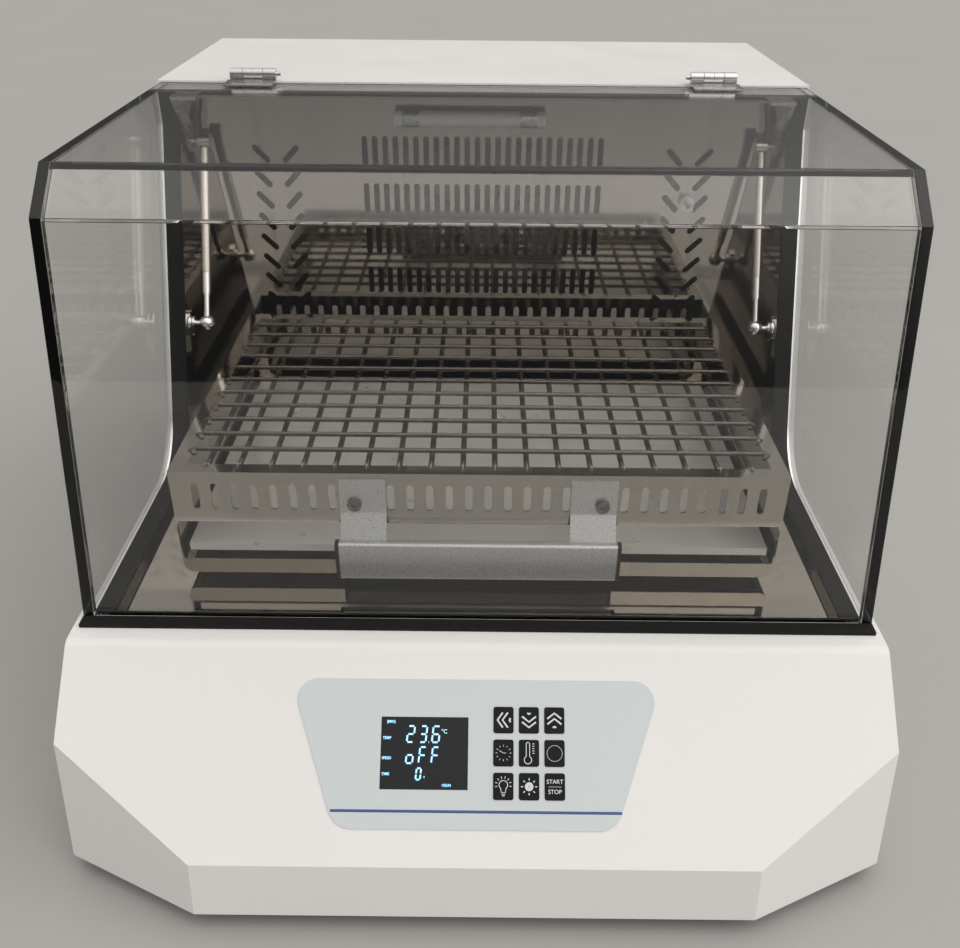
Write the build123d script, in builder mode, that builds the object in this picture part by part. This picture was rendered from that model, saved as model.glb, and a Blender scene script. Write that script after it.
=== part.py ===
"""Incubated benchtop shaker with a clear lift-up hood, in millimetres.

X runs to the right, Y from front to back and Z up.  The origin lies on the bench, midway
between the sides and midway between the front and rear edges of the casing.
Lengths called "distance" run backwards from the casing's front edge; heights start at the bench.
"""

from math import atan2, cos, hypot, radians, sin, sqrt, tan

from build123d import *

# ------------------------------------------------------------------ driving dimensions
# Casing: white sheet steel, low in front and tall behind, open below and at the rear.
casing_width = 600.0
casing_depth = 800.0
casing_height = 474.0
casing_wall = 2.0
foot_height = 8.0
base_drop = 6.0  # the base tray shows this much below the casing
strip_height = 43.3  # upright strip along the front edge
strip_lean = 8.0
strip_half_width = 198.0
facet_distance = 47.7  # where a corner facet meets the side, along the bottom edge
slope_angle = 43.5
slope_bend_radius = 12.0
deck_height = 162.0
rail_foot_distance = 368.4  # where the sloping rail would meet the deck
rail_lean = 24.2  # the sloping rail's angle from upright
rail_bend_radius = 63.0
ledge_drop = 11.0  # the hood's ledge lies this far below the casing's top
rail_head_drop = 25.0
ledge_height = casing_height - ledge_drop
rail_head_height = ledge_height - rail_head_drop
step_distance = 532.5
rear_edge_radius = 8.0
lip_width = 12.0
lip_setback = 5.0

# Base tray, feet and rear panel.
base_inset = 4.0
base_sheet = 2.0
base_rim_height = 14.0
foot_radius = 17.0
foot_side = 240.0
foot_front_distance = 110.0
foot_setback = 80.0
foot_rear_distance = casing_depth - foot_setback
panel_sheet = 2.0
panel_gap = 0.4
vent_length = 30.0
vent_width = 4.0
vent_pitch_x = 38.0
vent_pitch_z = 11.0
vent_columns = 10
vent_rows = 5
vent_drop = 74.0
vent_height = casing_height - vent_drop

# Chamber: polished stainless tub and rear wall.
sheet = 1.5
chamber_half_width = 273.0
chamber_front_distance = 150.0
chamber_rear_distance = 529.0
floor_height = 156.0
wall_slot_width = 5.4
wall_slot_height = 27.0
wall_slot_pitch = 9.72
wall_slot_columns = 24
wall_slot_rows = 4
wall_slot_row_pitch = 40.7
wall_slot_drop = 177.5
wall_slot_first_row = ledge_height - wall_slot_drop  # height of the lowest row's middle
chevron_length = 21.0
chevron_width = 5.5
chevron_rows = 8
chevron_row_pitch = 20.0
chevron_drop = 199.0
chevron_first_row = ledge_height - chevron_drop
chevron_fold = 196.5
chevron_offset = 14.0

# Seal and hood: 8 mm clear sheets bonded at their edges.
seal_thickness = 3.0
seal_front_distance = 133.0
seal_top_distance = 498.0
hood_sheet = 8.0
hood_half_width = 295.0
hood_front_distance = 143.0
hood_bend_drop = 17.1
# Distance and height of the front sheet's upper edge.
hood_front_bend = (207.8, ledge_height - hood_bend_drop)
hood_top_bend_distance = 240.9
hood_rear_distance = 526.0

# Hinges.
hinge_side = 211.0
hinge_length = 42.0
hinge_distance = 535.0
hinge_rise = 6.0
hinge_height = casing_height + hinge_rise
hinge_barrel_radius = 4.75
hinge_pin_radius = 2.0
hinge_pin_stub = 4.0
hinge_end_knuckle = 11.5
hinge_leaf = 2.0
hinge_leaf_width = 44.0
hinge_leaf_distance = 503.0
hinge_gap = 0.4
fit = 0.05  # radial clearance of a running fit
groove = 0.5

# Gas struts, one inside each side of the hood.
strut_side = 257.0
strut_top_drop = 43.5
strut_foot_drop = 186.0
strut_top = (507.0, ledge_height - strut_top_drop)  # distance and height of the upper ball
strut_foot = (435.0, ledge_height - strut_foot_drop)
strut_ball_radius = 5.0
strut_stud_radius = 2.5
strut_socket_radius = 7.0
strut_socket_half = 5.0
strut_socket_shift = 1.0
strut_tube_radius = 4.5
strut_tube_start = 12.0
strut_tube_length = 100.6
strut_rod_radius = 2.0
strut_rod_start = 34.0
strut_end_gap = 4.0
strut_sleeve_radius = 4.0
strut_sleeve_start = 113.2
strut_sleeve_length = 19.6
strut_neck_radius = 2.8
strut_pad_radius = 12.0
strut_pad_thickness = 3.0
strut_pad_gap = 0.3
strut_flange_radius = 6.0
strut_flange_thickness = 2.0
bracket_plate = 3.0
bracket_gap = 1.0
bracket_front_distance = 466.0
bracket_rear_distance = 488.0
bracket_sweep_radius = 50.0
bracket_sweep_drop = 5.0
bracket_sweep_run = 22.0
bracket_eye_radius = 9.0
bracket_flange = 22.0

# Rack of springs that rides on the shaking carriage.
rack_half_width = 233.0
rack_front_distance = 201.2
rack_rear_distance = 504.0
rack_bottom = 164.0
rack_rail_height = 13.5
rack_band_bottom = 213.0
rack_top = 257.5
rack_flange = 12.0
rack_foot_flange = 10.0
rack_corner_radius = 8.0
band_slot_count = 30
band_slot_pitch = 14.8
band_slot_height = 22.7
band_slot_width = 5.7
band_slot_middle = 236.0
spring_radius = 2.3
wire_radius = 0.8
hook_radius = 2.8
hook_clearance = 0.4
hook_hole_shift = 0.05
hook_inset = 0.4
hook_turn = 230.0
spring_lead = 1.5
long_spring_count = 18
long_spring_margin = 26.79  # from the rack's side to the outermost spring
long_spring_pitch = 2 * (rack_half_width - long_spring_margin) / (long_spring_count - 1)
cross_spring_count = 11
cross_spring_margin = 31.4
cross_spring_run = rack_rear_distance - rack_front_distance - 2 * cross_spring_margin
cross_spring_pitch = cross_spring_run / (cross_spring_count - 1)

# Polished platform plate under the springs.
plate_top = 189.5
plate_rim = 6.5
plate_gap = 4.5
plate_half_width = rack_half_width - sheet - plate_gap
plate_inset = 2.5

# Handle on the front of the rack.
handle_half_length = 109.0
handle_front_distance = 182.0
handle_thickness = 9.0
handle_bottom = 172.5
handle_height = 33.5
handle_edge_radius = 3.0
handle_cap = 3.0
bracket_inner_side = 70.0
bracket_outer_side = 105.0
bracket_sheet = 2.0
bracket_top = 253.0
bracket_bend = 224.0
bracket_bend_radius = 4.0
handle_screw_side = 94.0
handle_screw_height = 232.0
handle_screw_radius = 2.5
handle_screw_head_radius = 5.5
handle_screw_head = 3.0

# Orbital drive.
orbit_radius = 10.0
carriage_top = 176.0
carriage_sheet = 3.0
carriage_rim_bottom = 165.0
carriage_gap = 2.5
carriage_hub_radius = 22.0
spacer_radius = 10.0
spacer_columns = 4
spacer_rows = 2
spacer_pitch_x = 134.0
spacer_pitch_y = 250.0
crank_distance = 420.0
idler_side = 150.0
idler_distance = 280.0
crank_disc_top = 149.0
crank_disc_thickness = 8.0
crank_disc_radius = 26.0
crank_pin_radius = 6.0
crank_shaft_radius = 8.5
crank_collar_radius = 12.0
crank_shaft_bottom = 62.0
weight_thickness = 8.0
weight_radius = 75.0
idler_disc_radius = 20.0
idler_pin_radius = 4.0
idler_shaft_radius = 5.0
idler_collar_radius = 8.0
pin_top_gap = 2.0
pin_hole_gap = 4.0
frame_top = 97.0
frame_plate = 5.0
frame_half_width = 200.0
frame_front_distance = 240.0
frame_rear_distance = 640.0
frame_post = 30.0
housing_top = 130.0
housing_bottom = 84.0
housing_wall = 8.0
bearing_height = 10.0
crank_bearing_radius = 17.5
idler_bearing_radius = 13.0
collar_gap = 0.3
pulley_bottom = 66.0
pulley_height = 14.0
pulley_flange = 1.0
pulley_flange_rise = 3.0
driven_pulley_radius = 60.0
motor_pulley_radius = 20.0
belt_thickness = 2.5
belt_gap = 0.3
motor_distance = 580.0
motor_radius = 43.0
motor_height = 44.0
motor_shaft_radius = 4.0

# Air circulation behind the rear wall.
plenum_half_width = 250.0
plenum_depth = 70.0
plenum_bottom = 200.0
plenum_drop = 8.0
plenum_top = ledge_height - plenum_drop
fan_height = 330.0
fan_radius = 80.0
fan_hub_radius = 20.0
fan_width = 30.0
fan_blades = 12
fan_blade = 2.0
fan_setback = 20.0
fan_motor_radius = 32.0
fan_motor_length = 50.0
fan_shaft_radius = 4.0
heater_radius = 4.0
heater_half_length = 180.0
heater_bend_radius = 12.0
heater_rows = (220.0, 238.0)
lamp_left = -82.0
lamp_right = 58.0
lamp_drop = 24.0
lamp_height = ledge_height - lamp_drop
lamp_radius = 7.0
lamp_base = 5.0
sensor_side = 198.0
sensor_drop = 97.0
sensor_height = ledge_height - sensor_drop
sensor_radius = 7.0
probe_radius = 2.5
probe_length = 25.0

# Control panel on the slope; places are measured across, and up the slope from its lower edge.
overlay_thickness = 0.8
overlay_bottom = 25.0
overlay_top = 127.5
overlay_bottom_half = 98.6
overlay_top_half = 133.9
overlay_bottom_radius = 17.0
overlay_top_radius = 15.0
display_middle = (-36.5, 76.2)
display_width = 62.0
display_height = 49.6
display_gap = 0.2
module_margin = 7.0
module_depth = 8.0
key_middle = (37.6, 76.8)
key_pitch_x = 18.1
key_pitch_y = 22.6
key_width = 14.0
key_height = 18.0
key_corner = 1.5
key_rise = 0.8
key_gap = 0.2
key_lip = 0.7
key_lip_thickness = 1.1
key_stem_radius = 2.5
key_travel = 0.5
switch_size = 6.0
switch_height = 4.3
switch_gap = 0.1
key_window_margin = 3.0
board_thickness = 1.6
board_width = 170.0
board_height = 92.0
board_middle = (-5.0, 76.5)
board_post_radius = 3.5
board_post_inset = 12.0

# Mains inlet with rocker switch, and power supply.
inlet_side = 190.0
inlet_height = 80.0
inlet_width = 50.0
inlet_tall = 66.0
inlet_flange = 2.5
inlet_depth = 32.0
socket_width = 24.0
socket_tall = 16.0
socket_depth = 18.0
socket_drop = 16.0
socket_pin_length = 13.0
socket_pin_side = 7.0
socket_pin_rise = 2.0
socket_pin_width = 2.0
socket_pin_tall = 4.0
rocker_rise = 17.0
rocker_radius = 12.0
rocker_width = 13.4
rocker_setback = 6.0
rocker_gap = 0.4
rocker_half_angle = 7.0
rocker_pivot_radius = 1.5
supply_size = (160.0, 110.0, 50.0)
supply_setback = 94.0
supply_middle = (-150.0, casing_depth - supply_setback)

# Screws.
screw_radius = 2.0
screw_head_radius = 4.0
screw_head = 2.4
leaf_screw_head = 1.0
leaf_screw_offset = 13.0
panel_screw_drop = 34.0
tab_setback = 100.0


# ------------------------------------------------------------------ shared geometry
def back(distance):
    """Y of a point that lies this far behind the casing's front edge."""
    return distance - casing_depth / 2


def upright(distance):
    """Upright plane facing forwards, this far behind the casing's front edge."""
    return Plane.XZ.offset(-back(distance))


def level(height):
    """Level plane at this height above the bench."""
    return Plane.XY.offset(height)


casing_bottom = foot_height + base_drop
half_width = casing_width / 2
strip_top = casing_bottom + strip_height
slope_run = (deck_height - strip_top) / tan(radians(slope_angle))
slope_top_distance = strip_lean + slope_run
rail_head_distance = rail_foot_distance + (rail_head_height - deck_height) * tan(radians(rail_lean))
seal_top = ledge_height + seal_thickness
hood_top = seal_top + hood_sheet
ceiling_top = ledge_height - casing_wall
rack_middle_distance = (rack_front_distance + rack_rear_distance) / 2

slope = Plane(
    origin=(0, back(strip_lean), strip_top),
    x_dir=(1, 0, 0),
    z_dir=(0, -sin(radians(slope_angle)), cos(radians(slope_angle))),
)


def casing_side(grow=0.0, reach=0.0):
    """Side view of the casing, grown outwards, and run past its open bottom and rear by reach."""
    corners = [
        (back(0) - reach * strip_lean / strip_height, casing_bottom - reach),
        (back(strip_lean), strip_top),
        (back(slope_top_distance), deck_height),
        (back(rail_foot_distance), deck_height),
        (back(rail_head_distance), rail_head_height),
        (back(rail_head_distance), ledge_height),
        (back(step_distance), ledge_height),
        (back(step_distance), casing_height),
        (back(casing_depth) + reach, casing_height),
        (back(casing_depth) + reach, casing_bottom - reach),
    ]
    with BuildSketch(Plane.YZ) as side:
        with BuildLine():
            Polyline(*corners, close=True)
        make_face()
        for corner, radius in ((corners[2], slope_bend_radius), (corners[3], rail_bend_radius)):
            fillet(side.vertices().sort_by_distance(corner)[0], radius)
        if grow:
            offset(amount=grow, kind=Kind.INTERSECTION)
    return side


def facet(side, depth=0.0):
    """Plane of a front corner facet, facing outwards and sunk by depth."""
    foot = Vector(side * strip_half_width, back(0), casing_bottom)
    head = Vector(side * strip_half_width, back(strip_lean), strip_top)
    heel = Vector(side * half_width, back(facet_distance), casing_bottom)
    normal = (heel - foot).cross(head - foot) * side
    return Plane(origin=foot, z_dir=normal).offset(-depth)


def base_outline(inset=0.0):
    """Plan of the casing's bottom edge, drawn in by inset."""
    corners = [
        (-strip_half_width, back(0)),
        (strip_half_width, back(0)),
        (half_width, back(facet_distance)),
        (half_width, back(casing_depth)),
        (-half_width, back(casing_depth)),
        (-half_width, back(facet_distance)),
    ]
    with BuildSketch(Plane.XY) as plan:
        with BuildLine():
            Polyline(*corners, close=True)
        make_face()
        if inset:
            offset(amount=-inset, kind=Kind.INTERSECTION)
    return plan.sketch


def finish(builder, name):
    """Label a finished piece and write it to its own file."""
    builder.part.label = name
    export_step(builder.part, f"parts/{name}.step")


# ------------------------------------------------------------------ outer casing
key_window_width = 2 * key_pitch_x + key_width + 2 * key_window_margin
key_window_height = 2 * key_pitch_y + key_height + 2 * key_window_margin
tub_half_width = chamber_half_width + sheet
tub_front_distance = chamber_front_distance - sheet
tub_rear_distance = chamber_rear_distance + sheet
tub_middle = back((tub_front_distance + tub_rear_distance) / 2)
overrun = 60.0  # how far cutting shapes run past what they cut
cut_over = 1.0  # the same where there is little room
tab_length = 18.0
tab_width = 20.0
tab_side = half_width - casing_wall - tab_length / 2
tab_distances = (180.0, 440.0, casing_depth - tab_setback)
tab_places = [(side * tab_side, back(distance)) for side in (-1, 1) for distance in tab_distances]
rim_top = foot_height + base_rim_height
panel_screw_side = half_width - casing_wall - lip_width / 2
panel_screw_heights = (60.0, 250.0, casing_height - panel_screw_drop)
panel_screw_places = [
    (side * panel_screw_side, height) for side in (-1, 1) for height in panel_screw_heights
]
lip_rear_distance = casing_depth - lip_setback
leaf_screw_height = (ledge_height + casing_height) / 2
leaf_screw_places = [
    (side * hinge_side + offset_x, leaf_screw_height)
    for side in (-1, 1)
    for offset_x in (-leaf_screw_offset, leaf_screw_offset)
]

with BuildPart() as casing_hollow:
    extrude(casing_side(-casing_wall, overrun).sketch, amount=half_width - casing_wall, both=True)
    for side in (-1, 1):
        split(bisect_by=facet(side, casing_wall), keep=Keep.BOTTOM)

with BuildPart() as outer_casing:
    extrude(casing_side().sketch, amount=half_width, both=True)
    for side in (-1, 1):
        split(bisect_by=facet(side), keep=Keep.BOTTOM)
    top_rear = outer_casing.edges().filter_by(Axis.X).group_by(Axis.Z)[-1].sort_by(Axis.Y)[-1]
    fillet(top_rear, rear_edge_radius)
    add(casing_hollow.part, mode=Mode.SUBTRACT)
    # Lip behind the rear opening, for the rear panel.
    with BuildSketch(upright(lip_rear_distance)):
        with Locations((0, (casing_bottom + casing_height) / 2)):
            Rectangle(casing_width - casing_wall, casing_height - casing_bottom - casing_wall)
        with Locations((0, (rim_top + casing_height - casing_wall) / 2)):
            Rectangle(
                casing_width - 2 * (casing_wall + lip_width),
                casing_height - casing_wall - rim_top - 2 * lip_width,
                mode=Mode.SUBTRACT,
            )
        with Locations((0, (casing_bottom + rim_top) / 2)):
            Rectangle(casing_width - 2 * casing_wall, rim_top - casing_bottom + cut_over, mode=Mode.SUBTRACT)
    extrude(amount=casing_wall)
    # Tabs that stand on the rim of the base tray.
    with BuildSketch(level(rim_top)):
        with Locations(*tab_places):
            Rectangle(tab_length, tab_width)
            Circle(screw_radius, mode=Mode.SUBTRACT)
    extrude(amount=casing_wall)
    # Opening for the chamber, and windows for display and keys.
    with BuildSketch(level(floor_height - sheet)):
        with Locations((0, tub_middle)):
            Rectangle(2 * tub_half_width, tub_rear_distance - tub_front_distance)
    extrude(amount=ceiling_top - floor_height + sheet, mode=Mode.SUBTRACT)
    with BuildSketch(slope.offset(-overrun / 2)):
        with Locations(display_middle):
            Rectangle(display_width, display_height)
        with Locations(key_middle):
            Rectangle(key_window_width, key_window_height)
    extrude(amount=overrun, mode=Mode.SUBTRACT)
    # Holes for the screws of the rear panel and of the hinges.
    with BuildSketch(upright(lip_rear_distance)):
        with Locations(*panel_screw_places):
            Circle(screw_radius)
    extrude(amount=casing_wall, mode=Mode.SUBTRACT)
    with BuildSketch(upright(step_distance + casing_wall)):
        with Locations(*leaf_screw_places):
            Circle(screw_radius)
    extrude(amount=casing_wall, mode=Mode.SUBTRACT)
finish(outer_casing, "outer_casing")

# ------------------------------------------------------------------ base tray and feet
foot_places = [
    (side * foot_side, back(distance))
    for side in (-1, 1)
    for distance in (foot_front_distance, foot_rear_distance)
]

with BuildPart() as base_plate:
    extrude(base_outline(base_inset).moved(Location((0, 0, foot_height))), amount=base_rim_height)
    extrude(
        base_outline(base_inset + base_sheet).moved(Location((0, 0, foot_height + base_sheet))),
        amount=base_rim_height,
        mode=Mode.SUBTRACT,
    )
    with BuildSketch(level(0)):
        with Locations(*tab_places):
            Circle(screw_radius)
    extrude(amount=rim_top, mode=Mode.SUBTRACT)
finish(base_plate, "base_plate")

with BuildPart() as feet:
    with BuildSketch(level(0)):
        with Locations(*foot_places):
            Circle(foot_radius)
    extrude(amount=foot_height, taper=4)
finish(feet, "feet")

# ------------------------------------------------------------------ chamber tub
crank_place = (0, back(crank_distance))
idler_places = [(side * idler_side, back(idler_distance)) for side in (-1, 1)]
crank_hole_radius = orbit_radius + crank_pin_radius + pin_hole_gap
idler_hole_radius = orbit_radius + idler_pin_radius + pin_hole_gap

with BuildPart() as chamber_liner:
    with BuildSketch(Plane.YZ):
        add(casing_side().sketch_local)
        with Locations((tub_middle, (floor_height - sheet + ceiling_top) / 2)):
            Rectangle(
                tub_rear_distance - tub_front_distance,
                ceiling_top - floor_height + sheet,
                mode=Mode.INTERSECT,
            )
    extrude(amount=tub_half_width, both=True)
    with BuildSketch(level(floor_height)):
        with Locations((0, back((chamber_front_distance + tub_rear_distance) / 2))):
            Rectangle(2 * chamber_half_width, tub_rear_distance - chamber_front_distance)
    extrude(amount=ceiling_top - sheet - floor_height, mode=Mode.SUBTRACT)
    with BuildSketch(level(floor_height - sheet)):
        with Locations(crank_place):
            Circle(crank_hole_radius)
        with Locations(*idler_places):
            Circle(idler_hole_radius)
    extrude(amount=sheet, mode=Mode.SUBTRACT)
finish(chamber_liner, "chamber_liner")

wall_slot_middle = wall_slot_first_row + (wall_slot_rows - 1) * wall_slot_row_pitch / 2
chevron_middle = chevron_first_row + (chevron_rows - 1) * chevron_row_pitch / 2

with BuildPart() as rear_wall:
    with BuildSketch(upright(tub_rear_distance)):
        with Locations((0, (floor_height + ceiling_top - sheet) / 2)):
            Rectangle(2 * chamber_half_width, ceiling_top - sheet - floor_height)
        with Locations((0, wall_slot_middle)):
            with GridLocations(wall_slot_pitch, wall_slot_row_pitch, wall_slot_columns, wall_slot_rows):
                SlotOverall(wall_slot_height, wall_slot_width, rotation=90, mode=Mode.SUBTRACT)
        for side in (-1, 1):
            for lean in (-1, 1):
                with Locations((side * (chevron_fold + lean * chevron_offset), chevron_middle)):
                    with GridLocations(0, chevron_row_pitch, 1, chevron_rows):
                        SlotOverall(
                            chevron_length,
                            chevron_width,
                            rotation=45 * lean * side,
                            mode=Mode.SUBTRACT,
                        )
        with Locations((sensor_side, sensor_height)):
            Circle(probe_radius + key_gap, mode=Mode.SUBTRACT)
    extrude(amount=sheet)
finish(rear_wall, "rear_wall")

# ------------------------------------------------------------------ rubber seal round the opening
with BuildPart() as hood_seal:
    with BuildSketch(Plane.YZ):
        add(casing_side(seal_thickness).sketch_local)
        add(casing_side().sketch_local, mode=Mode.SUBTRACT)
        seal_middle = back((seal_front_distance + seal_top_distance) / 2)
        with Locations((seal_middle, (deck_height + casing_height) / 2)):
            Rectangle(
                seal_top_distance - seal_front_distance,
                casing_height - deck_height,
                mode=Mode.INTERSECT,
            )
    extrude(amount=hood_half_width, both=True)
    with BuildSketch(level(deck_height)):
        with Locations((0, back((chamber_front_distance + rail_head_distance) / 2))):
            Rectangle(2 * chamber_half_width, rail_head_distance - chamber_front_distance)
    extrude(amount=ledge_height - deck_height, mode=Mode.SUBTRACT)
finish(hood_seal, "hood_seal")


# ------------------------------------------------------------------ clear hood
def mitre(before, corner, after, thickness):
    """Inner corner of two sheets that meet at corner, each of this thickness, seen from the side."""
    first = (Vector(*corner) - Vector(*before)).normalized()
    second = (Vector(*after) - Vector(*corner)).normalized()
    inwards = first + second
    inwards = Vector(inwards.Y, -inwards.X).normalized()
    return Vector(*corner) + inwards * (thickness / sqrt((1 + first.dot(second)) / 2))


deck_seal_height = deck_height + seal_thickness
hood_foot = Vector(back(hood_front_distance), deck_seal_height)
hood_bend = Vector(back(hood_front_bend[0]), hood_front_bend[1])
hood_brow = Vector(back(hood_top_bend_distance), hood_top)
hood_rear = Vector(back(hood_rear_distance), hood_top)
front_lean = (hood_bend - hood_foot).normalized()
hood_foot_inner = hood_foot + Vector(hood_sheet / front_lean.Y, 0)
hood_bend_inner = mitre(hood_foot, hood_bend, hood_brow, hood_sheet)
hood_brow_inner = mitre(hood_bend, hood_brow, hood_rear, hood_sheet)
hood_rear_inner = Vector(back(hood_rear_distance), seal_top)


def hood_panel(*corners):
    """Sheet between the hood's two side sheets, with this section seen from the side."""
    with BuildPart() as panel:
        with BuildSketch(Plane.YZ):
            with BuildLine():
                Polyline(*[(corner.X, corner.Y) for corner in corners], close=True)
            make_face()
        extrude(amount=hood_half_width - hood_sheet, both=True)
    return panel


hood_front = hood_panel(hood_foot, hood_bend, hood_bend_inner, hood_foot_inner)
finish(hood_front, "hood_front")
hood_bevel = hood_panel(hood_bend, hood_brow, hood_brow_inner, hood_bend_inner)
finish(hood_bevel, "hood_bevel")
hood_top_sheet = hood_panel(hood_brow, hood_rear, hood_rear_inner, hood_brow_inner)
finish(hood_top_sheet, "hood_top")

for name, side in (("hood_side_left", -1), ("hood_side_right", 1)):
    with BuildPart() as hood_side:
        with BuildSketch(Plane.YZ.offset(side * (hood_half_width - hood_sheet / 2))):
            with BuildLine():
                Polyline(
                    (hood_foot.X, hood_foot.Y),
                    (hood_bend.X, hood_bend.Y),
                    (hood_brow.X, hood_brow.Y),
                    (hood_rear.X, hood_rear.Y),
                    (hood_rear.X, hood_foot.Y),
                    close=True,
                )
            make_face()
            add(casing_side(seal_thickness).sketch_local, mode=Mode.SUBTRACT)
        extrude(amount=hood_sheet / 2, both=True)
    finish(hood_side, name)

# ------------------------------------------------------------------ hinges
knuckle_half = hinge_length / 2
middle_half = knuckle_half - hinge_end_knuckle
base_leaf_front = step_distance - hinge_leaf
hinge_places = (-hinge_side, hinge_side)
leaf_clip_width = hood_rear_distance - hinge_leaf_distance
leaf_clip_middle = back((hinge_leaf_distance + hood_rear_distance) / 2)


def hinge_knuckle(x, half_length, radius=hinge_barrel_radius, mode=Mode.ADD):
    """Round bar along the hinge axis, centred at x."""
    with BuildSketch(Plane.YZ.offset(x)) as section:
        with Locations((back(hinge_distance), hinge_height)):
            Circle(radius)
    extrude(section.sketch, amount=half_length, both=True, mode=mode)


with BuildPart() as hinge_base_leaves:
    for x in hinge_places:
        inner = -1 if x > 0 else 1
        # Leaf against the step, and its two end tabs rolled into knuckles.
        with BuildSketch(upright(step_distance)):
            with Locations((x, (ledge_height + casing_height - hinge_gap) / 2)):
                Rectangle(hinge_length, casing_height - hinge_gap - ledge_height)
            for end in (-1, 1):
                tab_x = x + end * (knuckle_half - hinge_end_knuckle / 2)
                with Locations((tab_x, (ledge_height + hinge_height) / 2)):
                    Rectangle(hinge_end_knuckle, hinge_height - ledge_height)
            with Locations((x, leaf_screw_height)):
                with GridLocations(2 * leaf_screw_offset, 0, 2, 1):
                    Circle(screw_radius, mode=Mode.SUBTRACT)
        extrude(amount=hinge_leaf)
        for end in (-1, 1):
            hinge_knuckle(x + end * (knuckle_half - hinge_end_knuckle / 2), hinge_end_knuckle / 2)
        # The pin is staked in the end knuckles and stands out on the inner side.
        hinge_knuckle(x + inner * hinge_pin_stub / 2, knuckle_half + hinge_pin_stub / 2, hinge_pin_radius)
finish(hinge_base_leaves, "hinge_base_leaves")

with BuildPart() as hinge_hood_leaves:
    for x in hinge_places:
        # Clip folded round the rear edge of the top sheet.
        with BuildSketch(Plane.YZ.offset(x)):
            with Locations((leaf_clip_middle + hinge_leaf / 2, hood_top - hood_sheet / 2)):
                Rectangle(leaf_clip_width + hinge_leaf, hood_sheet + 2 * hinge_leaf)
            with Locations((leaf_clip_middle, hood_top - hood_sheet / 2)):
                Rectangle(leaf_clip_width, hood_sheet, mode=Mode.SUBTRACT)
        extrude(amount=hinge_leaf_width / 2, both=True)
        # Tongue under the middle knuckles.
        with BuildSketch(level(hood_top)):
            with Locations((x, back((hood_rear_distance + step_distance) / 2))):
                Rectangle(2 * (middle_half - hinge_gap), step_distance - hood_rear_distance)
        extrude(amount=hinge_leaf)
        hinge_knuckle(x, middle_half - hinge_gap)
        hinge_knuckle(x, middle_half, hinge_pin_radius + fit, Mode.SUBTRACT)
        with BuildSketch(Plane.YZ.offset(x)):
            with Locations((back(hinge_distance), hinge_height)):
                Circle(hinge_barrel_radius + cut_over)
                Circle(hinge_barrel_radius - groove, mode=Mode.SUBTRACT)
            with Locations((back(hinge_distance), hinge_height + hinge_barrel_radius / 2)):
                Rectangle(4 * hinge_barrel_radius, hinge_barrel_radius * 2, mode=Mode.INTERSECT)
        extrude(amount=groove / 2, both=True, mode=Mode.SUBTRACT)
finish(hinge_hood_leaves, "hinge_hood_leaves")

# ------------------------------------------------------------------ gas struts
strut_run = strut_foot[0] - strut_top[0]
strut_drop = strut_foot[1] - strut_top[1]
strut_length = hypot(strut_run, strut_drop)


def strut_plane(side):
    """Plane square to the strut at its upper ball, facing down the strut."""
    return Plane(
        origin=(side * strut_side, back(strut_top[0]), strut_top[1]),
        x_dir=(1, 0, 0),
        z_dir=(0, strut_run, strut_drop),
    )


def cross_bar(side, place, radius, start, length, mode=Mode.ADD):
    """Round bar across the strut, running outwards from start millimetres outside the ball."""
    with BuildSketch(Plane.YZ.offset(side * (strut_side + start + length / 2))) as section:
        with Locations((back(place[0]), place[1])):
            Circle(radius)
    extrude(section.sketch, amount=length / 2, both=True, mode=mode)


with BuildPart() as strut_tube_right:
    with BuildSketch(strut_plane(1).offset(strut_tube_start)):
        Circle(strut_tube_radius)
    extrude(amount=strut_tube_length)
    with BuildSketch(strut_plane(1)):
        Circle(strut_sleeve_radius)
    extrude(amount=strut_tube_start)
    socket_start = -strut_socket_half - strut_socket_shift
    cross_bar(1, strut_top, strut_socket_radius, socket_start, 2 * strut_socket_half)
    with Locations((strut_side, back(strut_top[0]), strut_top[1])):
        Sphere(strut_ball_radius + fit, rotation=(0, 90, 0), mode=Mode.SUBTRACT)
    with BuildSketch(strut_plane(1).offset(strut_rod_start - strut_end_gap)):
        Circle(strut_rod_radius + fit)
    extrude(amount=strut_length, mode=Mode.SUBTRACT)
finish(strut_tube_right, "strut_tube_right")

with BuildPart() as strut_tube_left:
    mirror(strut_tube_right.part, about=Plane.YZ)
finish(strut_tube_left, "strut_tube_left")

pad_inner = chamber_half_width - strut_pad_thickness - strut_side  # from ball centre out to the pad
for name, side in (("strut_rod_left", -1), ("strut_rod_right", 1)):
    with BuildPart() as strut_rod:
        with BuildSketch(strut_plane(side).offset(strut_rod_start)):
            Circle(strut_rod_radius)
        extrude(amount=strut_sleeve_start - strut_rod_start)
        with BuildSketch(strut_plane(side).offset(strut_sleeve_start)):
            Circle(strut_sleeve_radius)
        extrude(amount=strut_sleeve_length)
        with BuildSketch(strut_plane(side).offset(strut_sleeve_start + strut_sleeve_length)):
            Circle(strut_neck_radius)
        extrude(amount=strut_length - strut_sleeve_start - strut_sleeve_length)
        with Locations((side * strut_side, back(strut_foot[0]), strut_foot[1])):
            Sphere(strut_socket_radius, rotation=(0, 90, 0))
        cross_bar(side, strut_foot, strut_stud_radius, 0, pad_inner - strut_pad_gap)
        flange_start = pad_inner - strut_pad_gap - strut_flange_thickness
        cross_bar(side, strut_foot, strut_flange_radius, flange_start, strut_flange_thickness)
    finish(strut_rod, name)

with BuildPart() as strut_anchors:
    for side in (-1, 1):
        cross_bar(side, strut_foot, strut_pad_radius, pad_inner, strut_pad_thickness)
finish(strut_anchors, "strut_anchors")

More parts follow.
